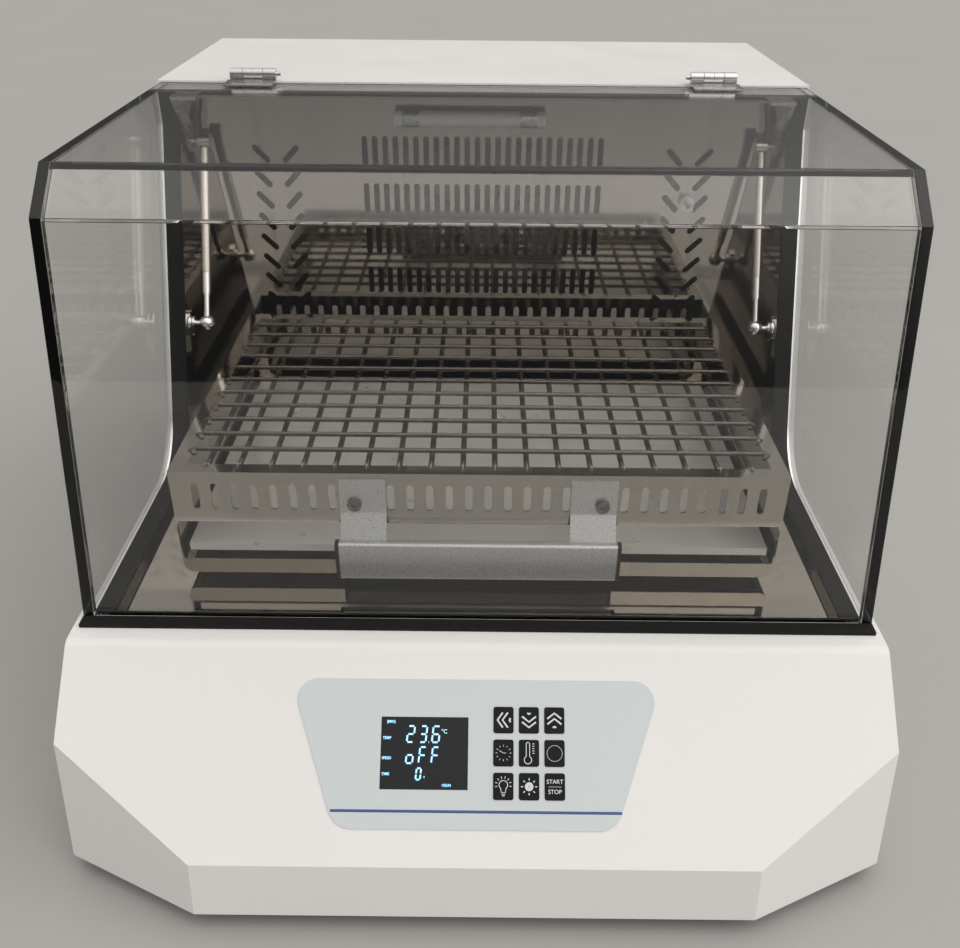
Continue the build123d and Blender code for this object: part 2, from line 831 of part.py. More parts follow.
stud_reach = chamber_half_width - bracket_gap - bracket_plate - strut_side - bracket_plate / 2
sweep_top = ledge_height - bracket_sweep_drop
sweep_top_run = sqrt(bracket_sweep_radius**2 - (hinge_height - sweep_top) ** 2)
sweep_low_drop = sqrt(bracket_sweep_radius**2 - bracket_sweep_run**2)
sweep_low_turn = atan2(sweep_low_drop, bracket_sweep_run)
sweep_middle = (atan2(hinge_height - sweep_top, sweep_top_run) + sweep_low_turn) / 2

with BuildPart() as strut_brackets:
    for side in (-1, 1):
        plate_middle = side * (strut_side + stud_reach + bracket_plate / 2)
        # Plate whose rear edge follows the hinge's sweep, so that it passes the rear lip.
        with BuildSketch(Plane.YZ.offset(plate_middle)):
            with BuildLine():
                high = (back(hinge_distance - sweep_top_run), sweep_top)
                low = (back(hinge_distance - bracket_sweep_run), hinge_height - sweep_low_drop)
                middle = (
                    back(hinge_distance - bracket_sweep_radius * cos(sweep_middle)),
                    hinge_height - bracket_sweep_radius * sin(sweep_middle),
                )
                ThreePointArc(high, middle, low)
                Polyline(
                    low,
                    (back(strut_top[0] + bracket_eye_radius), strut_top[1]),
                    (back(strut_top[0] - bracket_eye_radius), strut_top[1]),
                    (back(bracket_front_distance), seal_top),
                    (back(bracket_rear_distance), seal_top),
                    high,
                )
            make_face()
            with Locations((back(strut_top[0]), strut_top[1])):
                Circle(bracket_eye_radius)
        extrude(amount=bracket_plate / 2, both=True)
        # Flange under the top sheet.
        with BuildSketch(level(seal_top - bracket_plate)):
            flange_middle = plate_middle - side * (bracket_flange - bracket_plate) / 2
            flange_depth = bracket_rear_distance - bracket_front_distance
            with Locations((flange_middle, back(bracket_front_distance + flange_depth / 2))):
                Rectangle(bracket_flange, flange_depth)
        extrude(amount=bracket_plate)
        cross_bar(side, strut_top, strut_stud_radius, 0, stud_reach)
        with Locations((side * strut_side, back(strut_top[0]), strut_top[1])):
            Sphere(strut_ball_radius, rotation=(0, 90, 0))
finish(strut_brackets, "strut_brackets")

# ------------------------------------------------------------------ rack
rack_depth = rack_rear_distance - rack_front_distance
rack_middle = back(rack_middle_distance)
flange_middle_height = rack_top - sheet / 2
hook_hole_radius = wire_radius + hook_clearance
hook_hole_offset = hook_radius - hook_hole_shift
long_half = rack_depth / 2 - rack_flange + hook_inset  # hook centres of the long springs
cross_half = rack_half_width - rack_flange + hook_inset
rail_top = rack_bottom + rack_rail_height
bracket_middle = (bracket_inner_side + bracket_outer_side) / 2
handle_screw_places = [(side * handle_screw_side, handle_screw_height) for side in (-1, 1)]

with BuildPart() as rack_frame:
    with BuildSketch(level(rack_bottom)):
        with Locations((0, rack_middle)):
            Rectangle(2 * rack_half_width, rack_depth)
            Rectangle(2 * (rack_half_width - sheet), rack_depth - 2 * sheet, mode=Mode.SUBTRACT)
    extrude(amount=rack_top - rack_bottom)
    # Flanges folded inwards along the top and at the height of the front rail's upper edge.
    for height, width in ((rack_top, rack_flange), (rail_top, rack_foot_flange)):
        with BuildSketch(level(height - sheet)):
            with Locations((0, rack_middle)):
                Rectangle(2 * rack_half_width, rack_depth)
                Rectangle(2 * (rack_half_width - width), rack_depth - 2 * width, mode=Mode.SUBTRACT)
        extrude(amount=sheet)
    # Open front and rear between the slotted band and the bottom rail.
    with BuildSketch(upright(rack_rear_distance)):
        with Locations((0, (rail_top + rack_band_bottom) / 2)):
            Rectangle(2 * (rack_half_width - sheet), rack_band_bottom - rail_top)
        with Locations((0, band_slot_middle)):
            with GridLocations(band_slot_pitch, 0, band_slot_count, 1):
                SlotOverall(band_slot_height, band_slot_width, rotation=90)
    extrude(amount=rack_depth, mode=Mode.SUBTRACT)
    # Rounded lower corners of the rails.
    with BuildSketch(upright(rack_rear_distance)):
        for side in (-1, 1):
            corner = (side * (rack_half_width - rack_corner_radius), rack_bottom + rack_corner_radius)
            half_corner = rack_corner_radius / 2
            with Locations((corner[0] + side * half_corner, corner[1] - half_corner)):
                Rectangle(rack_corner_radius, rack_corner_radius)
            with Locations(corner):
                Circle(rack_corner_radius, mode=Mode.SUBTRACT)
    extrude(amount=rack_depth, mode=Mode.SUBTRACT)
    # Holes for the spring hooks and the handle screws.
    with BuildSketch(level(rack_top - sheet)):
        with Locations((0, rack_middle)):
            for end in (-1, 1):
                with Locations((0, end * (long_half + hook_hole_offset))):
                    with GridLocations(long_spring_pitch, 0, long_spring_count, 1):
                        Circle(hook_hole_radius)
                with Locations((end * (cross_half + hook_hole_offset), 0)):
                    with GridLocations(0, cross_spring_pitch, 1, cross_spring_count):
                        Circle(hook_hole_radius)
    extrude(amount=sheet, mode=Mode.SUBTRACT)
    with BuildSketch(upright(rack_front_distance + sheet)):
        with Locations(*handle_screw_places):
            Circle(handle_screw_radius)
    extrude(amount=sheet, mode=Mode.SUBTRACT)
finish(rack_frame, "rack_frame")


# ------------------------------------------------------------------ rack springs
def rack_spring(half_length, along, layer):
    """Close-wound spring with a hook at each end, centred at the flange's middle height.

    along is the direction it runs in; layer is -1 below the flange and 1 above it.
    """
    lift = layer * hook_radius
    with BuildPart() as spring:
        coil_start = along * -(half_length - spring_lead) + Vector(0, 0, lift)
        with BuildSketch(Plane(origin=coil_start, z_dir=along)):
            Circle(spring_radius)
        extrude(amount=2 * (half_length - spring_lead))
        for end in (-1, 1):
            start = along * (end * (half_length - spring_lead)) + Vector(0, 0, lift)
            turn_plane = Plane(
                origin=along * (end * half_length),
                x_dir=along * end,
                z_dir=(along * end).cross(Vector(0, 0, layer)),
            )
            with BuildLine() as wire:
                Line(start, along * (end * half_length) + Vector(0, 0, lift))
                with BuildLine(turn_plane):
                    CenterArc((0, 0), hook_radius, 90, -hook_turn)
            with BuildSketch(Plane(origin=start, z_dir=along * end)):
                Circle(wire_radius)
            sweep(path=wire.line)
    return spring.part


long_spring = rack_spring(long_half, Vector(0, 1, 0), -1)
cross_spring = rack_spring(cross_half, Vector(1, 0, 0), 1)

with BuildPart() as springs_long:
    with Locations((0, rack_middle, flange_middle_height)):
        with GridLocations(long_spring_pitch, 0, long_spring_count, 1):
            add(long_spring)
finish(springs_long, "springs_long")

with BuildPart() as springs_cross:
    with Locations((0, rack_middle, flange_middle_height)):
        with GridLocations(0, cross_spring_pitch, 1, cross_spring_count):
            add(cross_spring)
finish(springs_cross, "springs_cross")

# ------------------------------------------------------------------ platform plate
plate_depth = rack_depth - 2 * (sheet + plate_inset)

with BuildPart() as platform_plate:
    with BuildSketch(level(plate_top - plate_rim)):
        with Locations((0, rack_middle)):
            Rectangle(2 * plate_half_width, plate_depth)
    extrude(amount=plate_rim)
    with BuildSketch(level(plate_top - plate_rim)):
        with Locations((0, rack_middle)):
            Rectangle(2 * (plate_half_width - sheet), plate_depth - 2 * sheet)
    extrude(amount=plate_rim - sheet, mode=Mode.SUBTRACT)
finish(platform_plate, "platform_plate")

# ------------------------------------------------------------------ handle
bracket_front = rack_front_distance - bracket_sheet
handle_top = handle_bottom + handle_height
handle_rear_distance = handle_front_distance + handle_thickness
handle_grip_distance = handle_rear_distance - handle_thickness / 3
bar_half = handle_half_length - handle_cap


def handle_section():
    """Section of the handle bar, seen from the side."""
    with BuildSketch(Plane.YZ) as section:
        with Locations((back(handle_rear_distance - handle_thickness / 2), handle_top - handle_height / 2)):
            RectangleRounded(handle_thickness, handle_height, handle_edge_radius)
    return section.sketch


with BuildPart() as rack_handle:
    extrude(handle_section(), amount=bar_half, both=True)
    for side in (-1, 1):
        with BuildSketch(Plane.YZ.offset(side * bracket_middle)):
            with BuildLine():
                run = FilletPolyline(
                    (back(bracket_front + bracket_sheet / 2), bracket_top),
                    (back(bracket_front + bracket_sheet / 2), bracket_bend),
                    (back(handle_grip_distance), handle_top - handle_edge_radius),
                    radius=bracket_bend_radius,
                )
            trace(run, line_width=bracket_sheet)
        extrude(amount=(bracket_outer_side - bracket_inner_side) / 2, both=True)
    with BuildSketch(upright(rack_front_distance)):
        with Locations(*handle_screw_places):
            Circle(handle_screw_radius)
    extrude(amount=bracket_sheet, mode=Mode.SUBTRACT)
finish(rack_handle, "rack_handle")

with BuildPart() as handle_caps:
    for side in (-1, 1):
        cap_plane = Location((side * (bar_half + handle_cap / 2), 0, 0))
        extrude(handle_section().moved(cap_plane), amount=handle_cap / 2, both=True)
finish(handle_caps, "handle_caps")

with BuildPart() as rack_screws:
    with BuildSketch(upright(bracket_front)):
        with Locations(*handle_screw_places):
            Circle(handle_screw_head_radius)
    extrude(amount=handle_screw_head)
    with BuildSketch(upright(bracket_front - handle_screw_head)):
        with Locations(*handle_screw_places):
            RegularPolygon(handle_screw_radius, 6)
    extrude(amount=-handle_screw_head / 2, mode=Mode.SUBTRACT)
    with BuildSketch(upright(bracket_front)):
        with Locations(*handle_screw_places):
            Circle(handle_screw_radius)
    extrude(amount=-(bracket_sheet + sheet + 2 * handle_screw_head))
    with BuildSketch(upright(rack_front_distance + sheet)):
        with Locations(*handle_screw_places):
            RegularPolygon(handle_screw_head_radius, 6)
    extrude(amount=-handle_screw_head)
finish(rack_screws, "rack_screws")

# ------------------------------------------------------------------ shaking carriage
# Each pin stands in front of its shaft in the stored pose.
pin_places = [(x, y - orbit_radius) for x, y in (crank_place, *idler_places)]
carriage_half_width = rack_half_width - sheet - carriage_gap
carriage_depth = rack_depth - 2 * (sheet + carriage_gap)
pin_top = carriage_top - pin_top_gap

with BuildPart() as carriage_frame:
    with BuildSketch(level(carriage_rim_bottom)):
        with Locations((0, rack_middle)):
            Rectangle(2 * carriage_half_width, carriage_depth)
    extrude(amount=carriage_top - carriage_rim_bottom)
    with BuildSketch(level(carriage_rim_bottom)):
        with Locations((0, rack_middle)):
            Rectangle(2 * (carriage_half_width - carriage_sheet), carriage_depth - 2 * carriage_sheet)
    extrude(amount=carriage_top - carriage_sheet - carriage_rim_bottom, mode=Mode.SUBTRACT)
    with BuildSketch(level(carriage_rim_bottom)):
        with Locations(*pin_places):
            Circle(carriage_hub_radius)
    extrude(amount=carriage_top - carriage_sheet - carriage_rim_bottom)
    with BuildSketch(level(carriage_rim_bottom)):
        with Locations(pin_places[0]):
            Circle(crank_pin_radius + fit)
        with Locations(*pin_places[1:]):
            Circle(idler_pin_radius + fit)
    extrude(amount=pin_top + collar_gap - carriage_rim_bottom, mode=Mode.SUBTRACT)
    with BuildSketch(level(carriage_top)):
        with Locations((0, rack_middle)):
            with GridLocations(spacer_pitch_x, spacer_pitch_y, spacer_columns, spacer_rows):
                Circle(spacer_radius)
    extrude(amount=plate_top - sheet - carriage_top)
finish(carriage_frame, "carriage_frame")

# ------------------------------------------------------------------ eccentric shafts
disc_bottom = crank_disc_top - crank_disc_thickness


def eccentric(place, disc_radius, pin_radius, collar_radius, shaft_radius, shaft_bottom):
    """Upright shaft with a disc on top, and a pin that stands off the shaft's axis by the orbit radius."""
    x, y = place
    with BuildPart() as crank:
        for radius, low, high in (
            (shaft_radius, shaft_bottom, disc_bottom),
            (collar_radius, housing_top + collar_gap, disc_bottom),
            (disc_radius, disc_bottom, crank_disc_top),
        ):
            with BuildSketch(level(low)):
                with Locations((x, y)):
                    Circle(radius)
            extrude(amount=high - low)
        with BuildSketch(level(crank_disc_top)):
            with Locations((x, y - orbit_radius)):
                Circle(pin_radius)
        extrude(amount=pin_top - crank_disc_top)
    return crank


with BuildPart() as drive_crank:
    add(
        eccentric(
            crank_place,
            crank_disc_radius,
            crank_pin_radius,
            crank_collar_radius,
            crank_shaft_radius,
            crank_shaft_bottom,
        ).part
    )
    # Counterweight, a half disc under the crank disc on the side away from the pin.
    with BuildSketch(level(disc_bottom - weight_thickness)):
        with Locations(crank_place):
            Circle(weight_radius)
        with Locations((0, crank_place[1] - weight_radius / 2)):
            Rectangle(2 * weight_radius, weight_radius, mode=Mode.SUBTRACT)
    extrude(amount=weight_thickness)
finish(drive_crank, "drive_crank")

for name, place in (("idler_crank_left", idler_places[0]), ("idler_crank_right", idler_places[1])):
    idler = eccentric(
        place, idler_disc_radius, idler_pin_radius, idler_collar_radius, idler_shaft_radius, housing_bottom
    )
    finish(idler, name)

# ------------------------------------------------------------------ drive frame and bearings
frame_middle = back((frame_front_distance + frame_rear_distance) / 2)
frame_depth = frame_rear_distance - frame_front_distance
motor_place = (0, back(motor_distance))
base_top = foot_height + base_sheet
housings = [(crank_place, crank_bearing_radius), *[(place, idler_bearing_radius) for place in idler_places]]
shafts = [(crank_place, crank_shaft_radius), *[(place, idler_shaft_radius) for place in idler_places]]

with BuildPart() as drive_frame:
    with BuildSketch(level(frame_top - frame_plate)):
        with Locations((0, frame_middle)):
            Rectangle(2 * frame_half_width, frame_depth)
    extrude(amount=frame_plate)
    with BuildSketch(level(base_top)):
        with Locations((0, frame_middle)):
            with GridLocations(2 * frame_half_width - frame_post, frame_depth - frame_post, 2, 2):
                Rectangle(frame_post, frame_post)
    extrude(amount=frame_top - frame_plate - base_top)
    for place, radius in housings:
        with BuildSketch(level(housing_bottom)):
            with Locations(place):
                Circle(radius + housing_wall)
        extrude(amount=housing_top - housing_bottom)
    for place, radius in housings:
        with BuildSketch(level(housing_bottom)):
            with Locations(place):
                Circle(radius)
        extrude(amount=housing_top - housing_bottom, mode=Mode.SUBTRACT)
    with BuildSketch(level(frame_top - frame_plate)):
        with Locations(motor_place):
            Circle(2 * motor_shaft_radius)
    extrude(amount=frame_plate, mode=Mode.SUBTRACT)
finish(drive_frame, "drive_frame")

with BuildPart() as drive_bearings:
    for (place, outer), (_, inner) in zip(housings, shafts):
        for low in (housing_bottom, housing_top - bearing_height):
            with BuildSketch(level(low)):
                with Locations(place):
                    Circle(outer)
                    Circle(inner + fit, mode=Mode.SUBTRACT)
            extrude(amount=bearing_height)
finish(drive_bearings, "drive_bearings")


# ------------------------------------------------------------------ pulleys, belt and motor
def pulley(place, radius, bore=0.0):
    """Flanged belt pulley with a bore for its shaft."""
    with BuildPart() as wheel:
        with BuildSketch(level(pulley_bottom)):
            with Locations(place):
                Circle(radius)
        extrude(amount=pulley_height)
        for low in (pulley_bottom, pulley_bottom + pulley_height - pulley_flange):
            with BuildSketch(level(low)):
                with Locations(place):
                    Circle(radius + pulley_flange_rise)
            extrude(amount=pulley_flange)
        if bore:
            with BuildSketch(level(pulley_bottom)):
                with Locations(place):
                    Circle(bore)
            extrude(amount=pulley_height, mode=Mode.SUBTRACT)
    return wheel


driven_pulley = pulley(crank_place, driven_pulley_radius, crank_shaft_radius)
finish(driven_pulley, "driven_pulley")

with BuildPart() as motor_pulley:
    add(pulley(motor_place, motor_pulley_radius).part)
    with BuildSketch(level(pulley_bottom)):
        with Locations(motor_place):
            Circle(motor_shaft_radius)
    extrude(amount=frame_top + motor_height / 2 - pulley_bottom)
finish(motor_pulley, "motor_pulley")

with BuildPart() as drive_belt:
    with BuildSketch(level(pulley_bottom + pulley_flange + belt_gap)):
        for grow, mode in ((belt_gap + belt_thickness, Mode.ADD), (belt_gap, Mode.SUBTRACT)):
            with BuildSketch(mode=Mode.PRIVATE) as loop:
                with Locations(crank_place):
                    Circle(driven_pulley_radius + grow)
                with Locations(motor_place):
                    Circle(motor_pulley_radius + grow)
                make_hull()
            add(loop.sketch, mode=mode)
    extrude(amount=pulley_height - 2 * (pulley_flange + belt_gap))
finish(drive_belt, "drive_belt")

with BuildPart() as drive_motor:
    with BuildSketch(level(frame_top)):
        with Locations(motor_place):
            Circle(motor_radius)
    extrude(amount=motor_height)
    with BuildSketch(level(frame_top)):
        with Locations(motor_place):
            Circle(motor_shaft_radius + fit)
    extrude(amount=motor_height / 2 + collar_gap, mode=Mode.SUBTRACT)
finish(drive_motor, "drive_motor")

# ------------------------------------------------------------------ air circulation
plenum_front_distance = tub_rear_distance
plenum_rear_distance = plenum_front_distance + plenum_depth
plenum_middle_height = (plenum_bottom + plenum_top) / 2
fan_front_distance = plenum_front_distance + fan_setback
fan_rear_distance = fan_front_distance + fan_width
heater_front_distance = plenum_front_distance + plenum_depth / 2

with BuildPart() as fan_plenum:
    with BuildSketch(upright(plenum_rear_distance)):
        with Locations((0, plenum_middle_height)):
            Rectangle(2 * plenum_half_width, plenum_top - plenum_bottom)
    extrude(amount=plenum_depth)
    with BuildSketch(upright(plenum_rear_distance - sheet)):
        with Locations((0, plenum_middle_height)):
            Rectangle(2 * (plenum_half_width - sheet), plenum_top - plenum_bottom - 2 * sheet)
    extrude(amount=plenum_depth, mode=Mode.SUBTRACT)
    with BuildSketch(upright(plenum_rear_distance)):
        with Locations((0, fan_height)):
            Circle(2 * fan_shaft_radius)
        for height in heater_rows:
            with Locations((-heater_half_length, height), (heater_half_length, height)):
                Circle(heater_radius)
    extrude(amount=sheet, mode=Mode.SUBTRACT)
finish(fan_plenum, "fan_plenum")

with BuildPart() as heater:
    for height in heater_rows:
        with BuildLine(level(height)) as element:
            FilletPolyline(
                (-heater_half_length, back(plenum_rear_distance) + heater_bend_radius),
                (-heater_half_length, back(heater_front_distance)),
                (heater_half_length, back(heater_front_distance)),
                (heater_half_length, back(plenum_rear_distance) + heater_bend_radius),
                radius=heater_bend_radius,
            )
        with BuildSketch(Plane(origin=element.line @ 0, z_dir=element.line % 0)):
            Circle(heater_radius)
        sweep(path=element.line)
finish(heater, "heater")

with BuildPart() as fan_motor:
    with BuildSketch(upright(plenum_rear_distance)):
        with Locations((0, fan_height)):
            Circle(fan_motor_radius)
    extrude(amount=-fan_motor_length)
    with BuildSketch(upright(plenum_rear_distance)):
        with Locations((0, fan_height)):
            Circle(fan_shaft_radius + fit)
    extrude(amount=-(fan_motor_length / 2 + collar_gap), mode=Mode.SUBTRACT)
finish(fan_motor, "fan_motor")

with BuildPart() as fan_impeller:
    with BuildSketch(upright(fan_rear_distance)):
        with Locations((0, fan_height)):
            Circle(fan_radius)
    extrude(amount=fan_blade)
    with BuildSketch(upright(fan_rear_distance)):
        with Locations((0, fan_height)):
            Circle(fan_hub_radius)
            with PolarLocations((fan_radius + fan_hub_radius) / 2, fan_blades):
                Rectangle(fan_radius - fan_hub_radius + fan_blade, fan_blade)
    extrude(amount=fan_width)
    with BuildSketch(upright(fan_rear_distance)):
        with Locations((0, fan_height)):
            Circle(fan_shaft_radius)
    extrude(amount=-(plenum_rear_distance - fan_rear_distance + fan_motor_length / 2))
finish(fan_impeller, "fan_impeller")

# ------------------------------------------------------------------ lamp and temperature sensor
lamp_middle = (lamp_left + lamp_right) / 2
lamp_axis_distance = chamber_rear_distance - lamp_base - lamp_radius

with BuildPart() as chamber_lamp:
    with BuildSketch(Plane.YZ.offset(lamp_middle)):
        with Locations((back(lamp_axis_distance), lamp_height)):
            Circle(lamp_radius)
    extrude(amount=(lamp_right - lamp_left) / 2, both=True)
    with BuildSketch(upright(chamber_rear_distance)):
        with Locations((lamp_middle, lamp_height)):
            Rectangle(lamp_right - lamp_left, lamp_radius)
    extrude(amount=lamp_base + lamp_radius / 2)
finish(chamber_lamp, "chamber_lamp")

with BuildPart() as temperature_sensor:
    with BuildSketch(upright(chamber_rear_distance)):
        with Locations((sensor_side, sensor_height)):
            Circle(sensor_radius)
    extrude(amount=sensor_radius)
    with BuildSketch(upright(chamber_rear_distance)):
        with Locations((sensor_side, sensor_height)):
            Circle(probe_radius)
    extrude(amount=probe_length)
    with BuildSketch(upright(chamber_rear_distance)):
        with Locations((sensor_side, sensor_height)):
            Circle(probe_radius)
    extrude(amount=-probe_length / 2)
finish(temperature_sensor, "temperature_sensor")

# ------------------------------------------------------------------ control panel
key_columns = 3
key_rows = 3
module_back = -casing_wall - module_depth

overlay_corners = [
    (-overlay_bottom_half, overlay_bottom, overlay_bottom_radius),
    (overlay_bottom_half, overlay_bottom, overlay_bottom_radius),
    (overlay_top_half, overlay_top, overlay_top_radius),
    (-overlay_top_half, overlay_top, overlay_top_radius),
]
with BuildPart() as control_overlay:
    with BuildSketch(slope) as film:
        with BuildLine():
            Polyline(*[(x, y) for x, y, _ in overlay_corners], close=True)
        make_face()
        for x, y, radius in overlay_corners:
            fillet(film.vertices().sort_by_distance((x, y))[0], radius)
        with Locations(display_middle):
            Rectangle(display_width, display_height, mode=Mode.SUBTRACT)
        with Locations(key_middle):
            with GridLocations(key_pitch_x, key_pitch_y, key_columns, key_rows):
                RectangleRounded(
                    key_width + 2 * key_gap,
                    key_height + 2 * key_gap,
                    key_corner + key_gap,
                    mode=Mode.SUBTRACT,
                )
    extrude(amount=overlay_thickness)
finish(control_overlay, "control_overlay")

with BuildPart() as display_window:
    with BuildSketch(slope.offset(-casing_wall)):
        with Locations(display_middle):
            Rectangle(display_width - 2 * display_gap, display_height - 2 * display_gap)
    extrude(amount=casing_wall + overlay_thickness)
finish(display_window, "display_window")

with BuildPart() as display_module:
    with BuildSketch(slope.offset(module_back)):
        with Locations(display_middle):
            Rectangle(display_width + 2 * module_margin, display_height + 2 * module_margin)
    extrude(amount=module_depth)
finish(display_module, "display_module")

with BuildPart() as control_board:
    with BuildSketch(slope.offset(module_back - board_thickness)):
        with Locations(board_middle):
            Rectangle(board_width, board_height)
    extrude(amount=board_thickness)
    with BuildSketch(slope.offset(module_back)):
        with Locations(board_middle):
            with GridLocations(board_width - board_post_inset, board_height - board_post_inset, 2, 2):
                Circle(board_post_radius)
    extrude(amount=module_depth)
    with BuildSketch(slope.offset(module_back)):
        with Locations(key_middle):
            with GridLocations(key_pitch_x, key_pitch_y, key_columns, key_rows):
                Rectangle(switch_size, switch_size)
    extrude(amount=switch_height)
finish(control_board, "control_board")

key_stem_end = module_back + switch_height + key_travel + switch_gap
key_number = 0
for row in range(key_rows):
    for column in range(key_columns):
        key_number += 1
        place = (
            key_middle[0] + (column - 1) * key_pitch_x,
            key_middle[1] + (1 - row) * key_pitch_y,
        )
        with BuildPart() as key:
            with BuildSketch(slope.offset(-key_lip_thickness)):
                with Locations(place):
                    RectangleRounded(key_width + 2 * key_lip, key_height + 2 * key_lip, key_corner)
            extrude(amount=key_lip_thickness - switch_gap)
            with BuildSketch(slope.offset(-key_lip_thickness)):
                with Locations(place):
                    RectangleRounded(key_width, key_height, key_corner)
            extrude(amount=key_lip_thickness + overlay_thickness + key_rise)
            with BuildSketch(slope.offset(key_stem_end)):
                with Locations(place):
                    Circle(key_stem_radius)
            extrude(amount=-key_lip_thickness - key_stem_end)
        finish(key, f"key_{key_number}")

# ------------------------------------------------------------------ mains inlet, switch and supply
panel_rear = lip_rear_distance + panel_sheet
socket_middle = (inlet_side, inlet_height - socket_drop)
rocker_middle = (inlet_side, inlet_height + rocker_rise)
pivot_distance = panel_rear + inlet_flange - rocker_setback
rocker_window = (rocker_width + 2 * rocker_gap, 2 * (rocker_radius + rocker_gap))

with BuildPart() as power_inlet:
    with BuildSketch(upright(panel_rear)):
        with Locations((inlet_side, inlet_height)):
            Rectangle(inlet_width, inlet_tall)
    extrude(amount=-inlet_flange)
    with BuildSketch(upright(panel_rear)):
        with Locations(socket_middle, rocker_middle):
            Rectangle(rocker_window[1] + 2 * inlet_flange, rocker_window[1] + 2 * inlet_flange)
    extrude(amount=inlet_depth)
    with BuildSketch(upright(panel_rear + inlet_flange)):
        with Locations(socket_middle):
            Rectangle(socket_width, socket_tall)
    extrude(amount=socket_depth, mode=Mode.SUBTRACT)
    with BuildSketch(upright(panel_rear + inlet_flange - socket_depth)):
        with Locations(socket_middle):
            for step in (-1, 0, 1):
                with Locations((step * socket_pin_side, socket_pin_rise * (1 - 2 * abs(step)))):
                    Rectangle(socket_pin_width, socket_pin_tall)
    extrude(amount=-socket_pin_length)
    with BuildSketch(upright(panel_rear + inlet_flange)):
        with Locations(rocker_middle):
            Rectangle(*rocker_window)
    extrude(amount=rocker_setback + rocker_radius, mode=Mode.SUBTRACT)
    with BuildSketch(Plane.YZ.offset(inlet_side)):
        with Locations((back(pivot_distance), rocker_middle[1])):
            Circle(rocker_pivot_radius)
    extrude(amount=rocker_window[0] / 2, both=True)
finish(power_inlet, "power_inlet")

rocker_dish = rocker_radius * sin(radians(rocker_half_angle))
with BuildPart() as power_switch:
    with BuildSketch(Plane.YZ.offset(inlet_side)):
        with Locations((back(pivot_distance), rocker_middle[1])):
            Circle(rocker_radius)
            # Dished face, tilted with its upper half pressed in.
            with Locations(Location((rocker_setback, 0, 0), (0, 0, rocker_half_angle))):
                Polygon(
                    (0, 0),
                    (rocker_dish, rocker_radius),
                    (2 * rocker_radius, rocker_radius),
                    (2 * rocker_radius, -rocker_radius),
                    (rocker_dish, -rocker_radius),
                    align=None,
                    mode=Mode.SUBTRACT,
                )
            with Locations((-rocker_radius, 0)):
                Rectangle(rocker_radius, 2 * rocker_radius, mode=Mode.SUBTRACT)
            Circle(rocker_pivot_radius + fit, mode=Mode.SUBTRACT)
    extrude(amount=rocker_width / 2, both=True)
finish(power_switch, "power_switch")

with BuildPart() as power_supply:
    with BuildSketch(level(base_top)):
        with Locations((supply_middle[0], back(supply_middle[1]))):
            Rectangle(supply_size[0], supply_size[1])
    extrude(amount=supply_size[2])
finish(power_supply, "power_supply")

# ------------------------------------------------------------------ rear panel and screws
panel_half_width = half_width - casing_wall - panel_gap
panel_bottom = rim_top + panel_gap
panel_top = casing_height - rear_edge_radius - panel_gap

with BuildPart() as rear_panel:
    with BuildSketch(upright(panel_rear)):
        with Locations((0, (panel_bottom + panel_top) / 2)):
            Rectangle(2 * panel_half_width, panel_top - panel_bottom)
        with Locations((0, vent_height)):
            with GridLocations(vent_pitch_x, vent_pitch_z, vent_columns, vent_rows):
                SlotOverall(vent_length, vent_width, mode=Mode.SUBTRACT)
        with Locations(socket_middle, rocker_middle):
            Rectangle(
                rocker_window[1] + 2 * inlet_flange + panel_gap,
                rocker_window[1] + 2 * inlet_flange + panel_gap,
                mode=Mode.SUBTRACT,
            )
        with Locations(*panel_screw_places):
            Circle(screw_radius, mode=Mode.SUBTRACT)
    extrude(amount=panel_sheet)
finish(rear_panel, "rear_panel")

with BuildPart() as casing_screws:
    # Through the rear panel into its lip.
    with BuildSketch(upright(panel_rear)):
        with Locations(*panel_screw_places):
            Circle(screw_head_radius)
    extrude(amount=-screw_head)
    with BuildSketch(upright(panel_rear)):
        with Locations(*panel_screw_places):
            Circle(screw_radius)
    extrude(amount=panel_sheet + 2 * casing_wall)
    # Up through the base tray into the casing's tabs.
    with BuildSketch(level(foot_height)):
        with Locations(*tab_places):
            Circle(screw_head_radius)
    extrude(amount=-screw_head)
    with BuildSketch(level(foot_height)):
        with Locations(*tab_places):
            Circle(screw_radius)
    extrude(amount=rim_top + casing_wall - foot_height)
    # Through the hinge leaves.
    with BuildSketch(upright(step_distance + 2 * casing_wall)):
        with Locations(*leaf_screw_places):
            Circle(screw_radius)
    extrude(amount=2 * casing_wall + hinge_leaf)
    with BuildSketch(upright(base_leaf_front)):
        with Locations(*leaf_screw_places):
            Circle(screw_head_radius)
    extrude(amount=leaf_screw_head)
finish(casing_screws, "casing_screws")
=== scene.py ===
from math import cos, pi, radians, sin

import bmesh
import bpy
from mathutils import Matrix, Vector


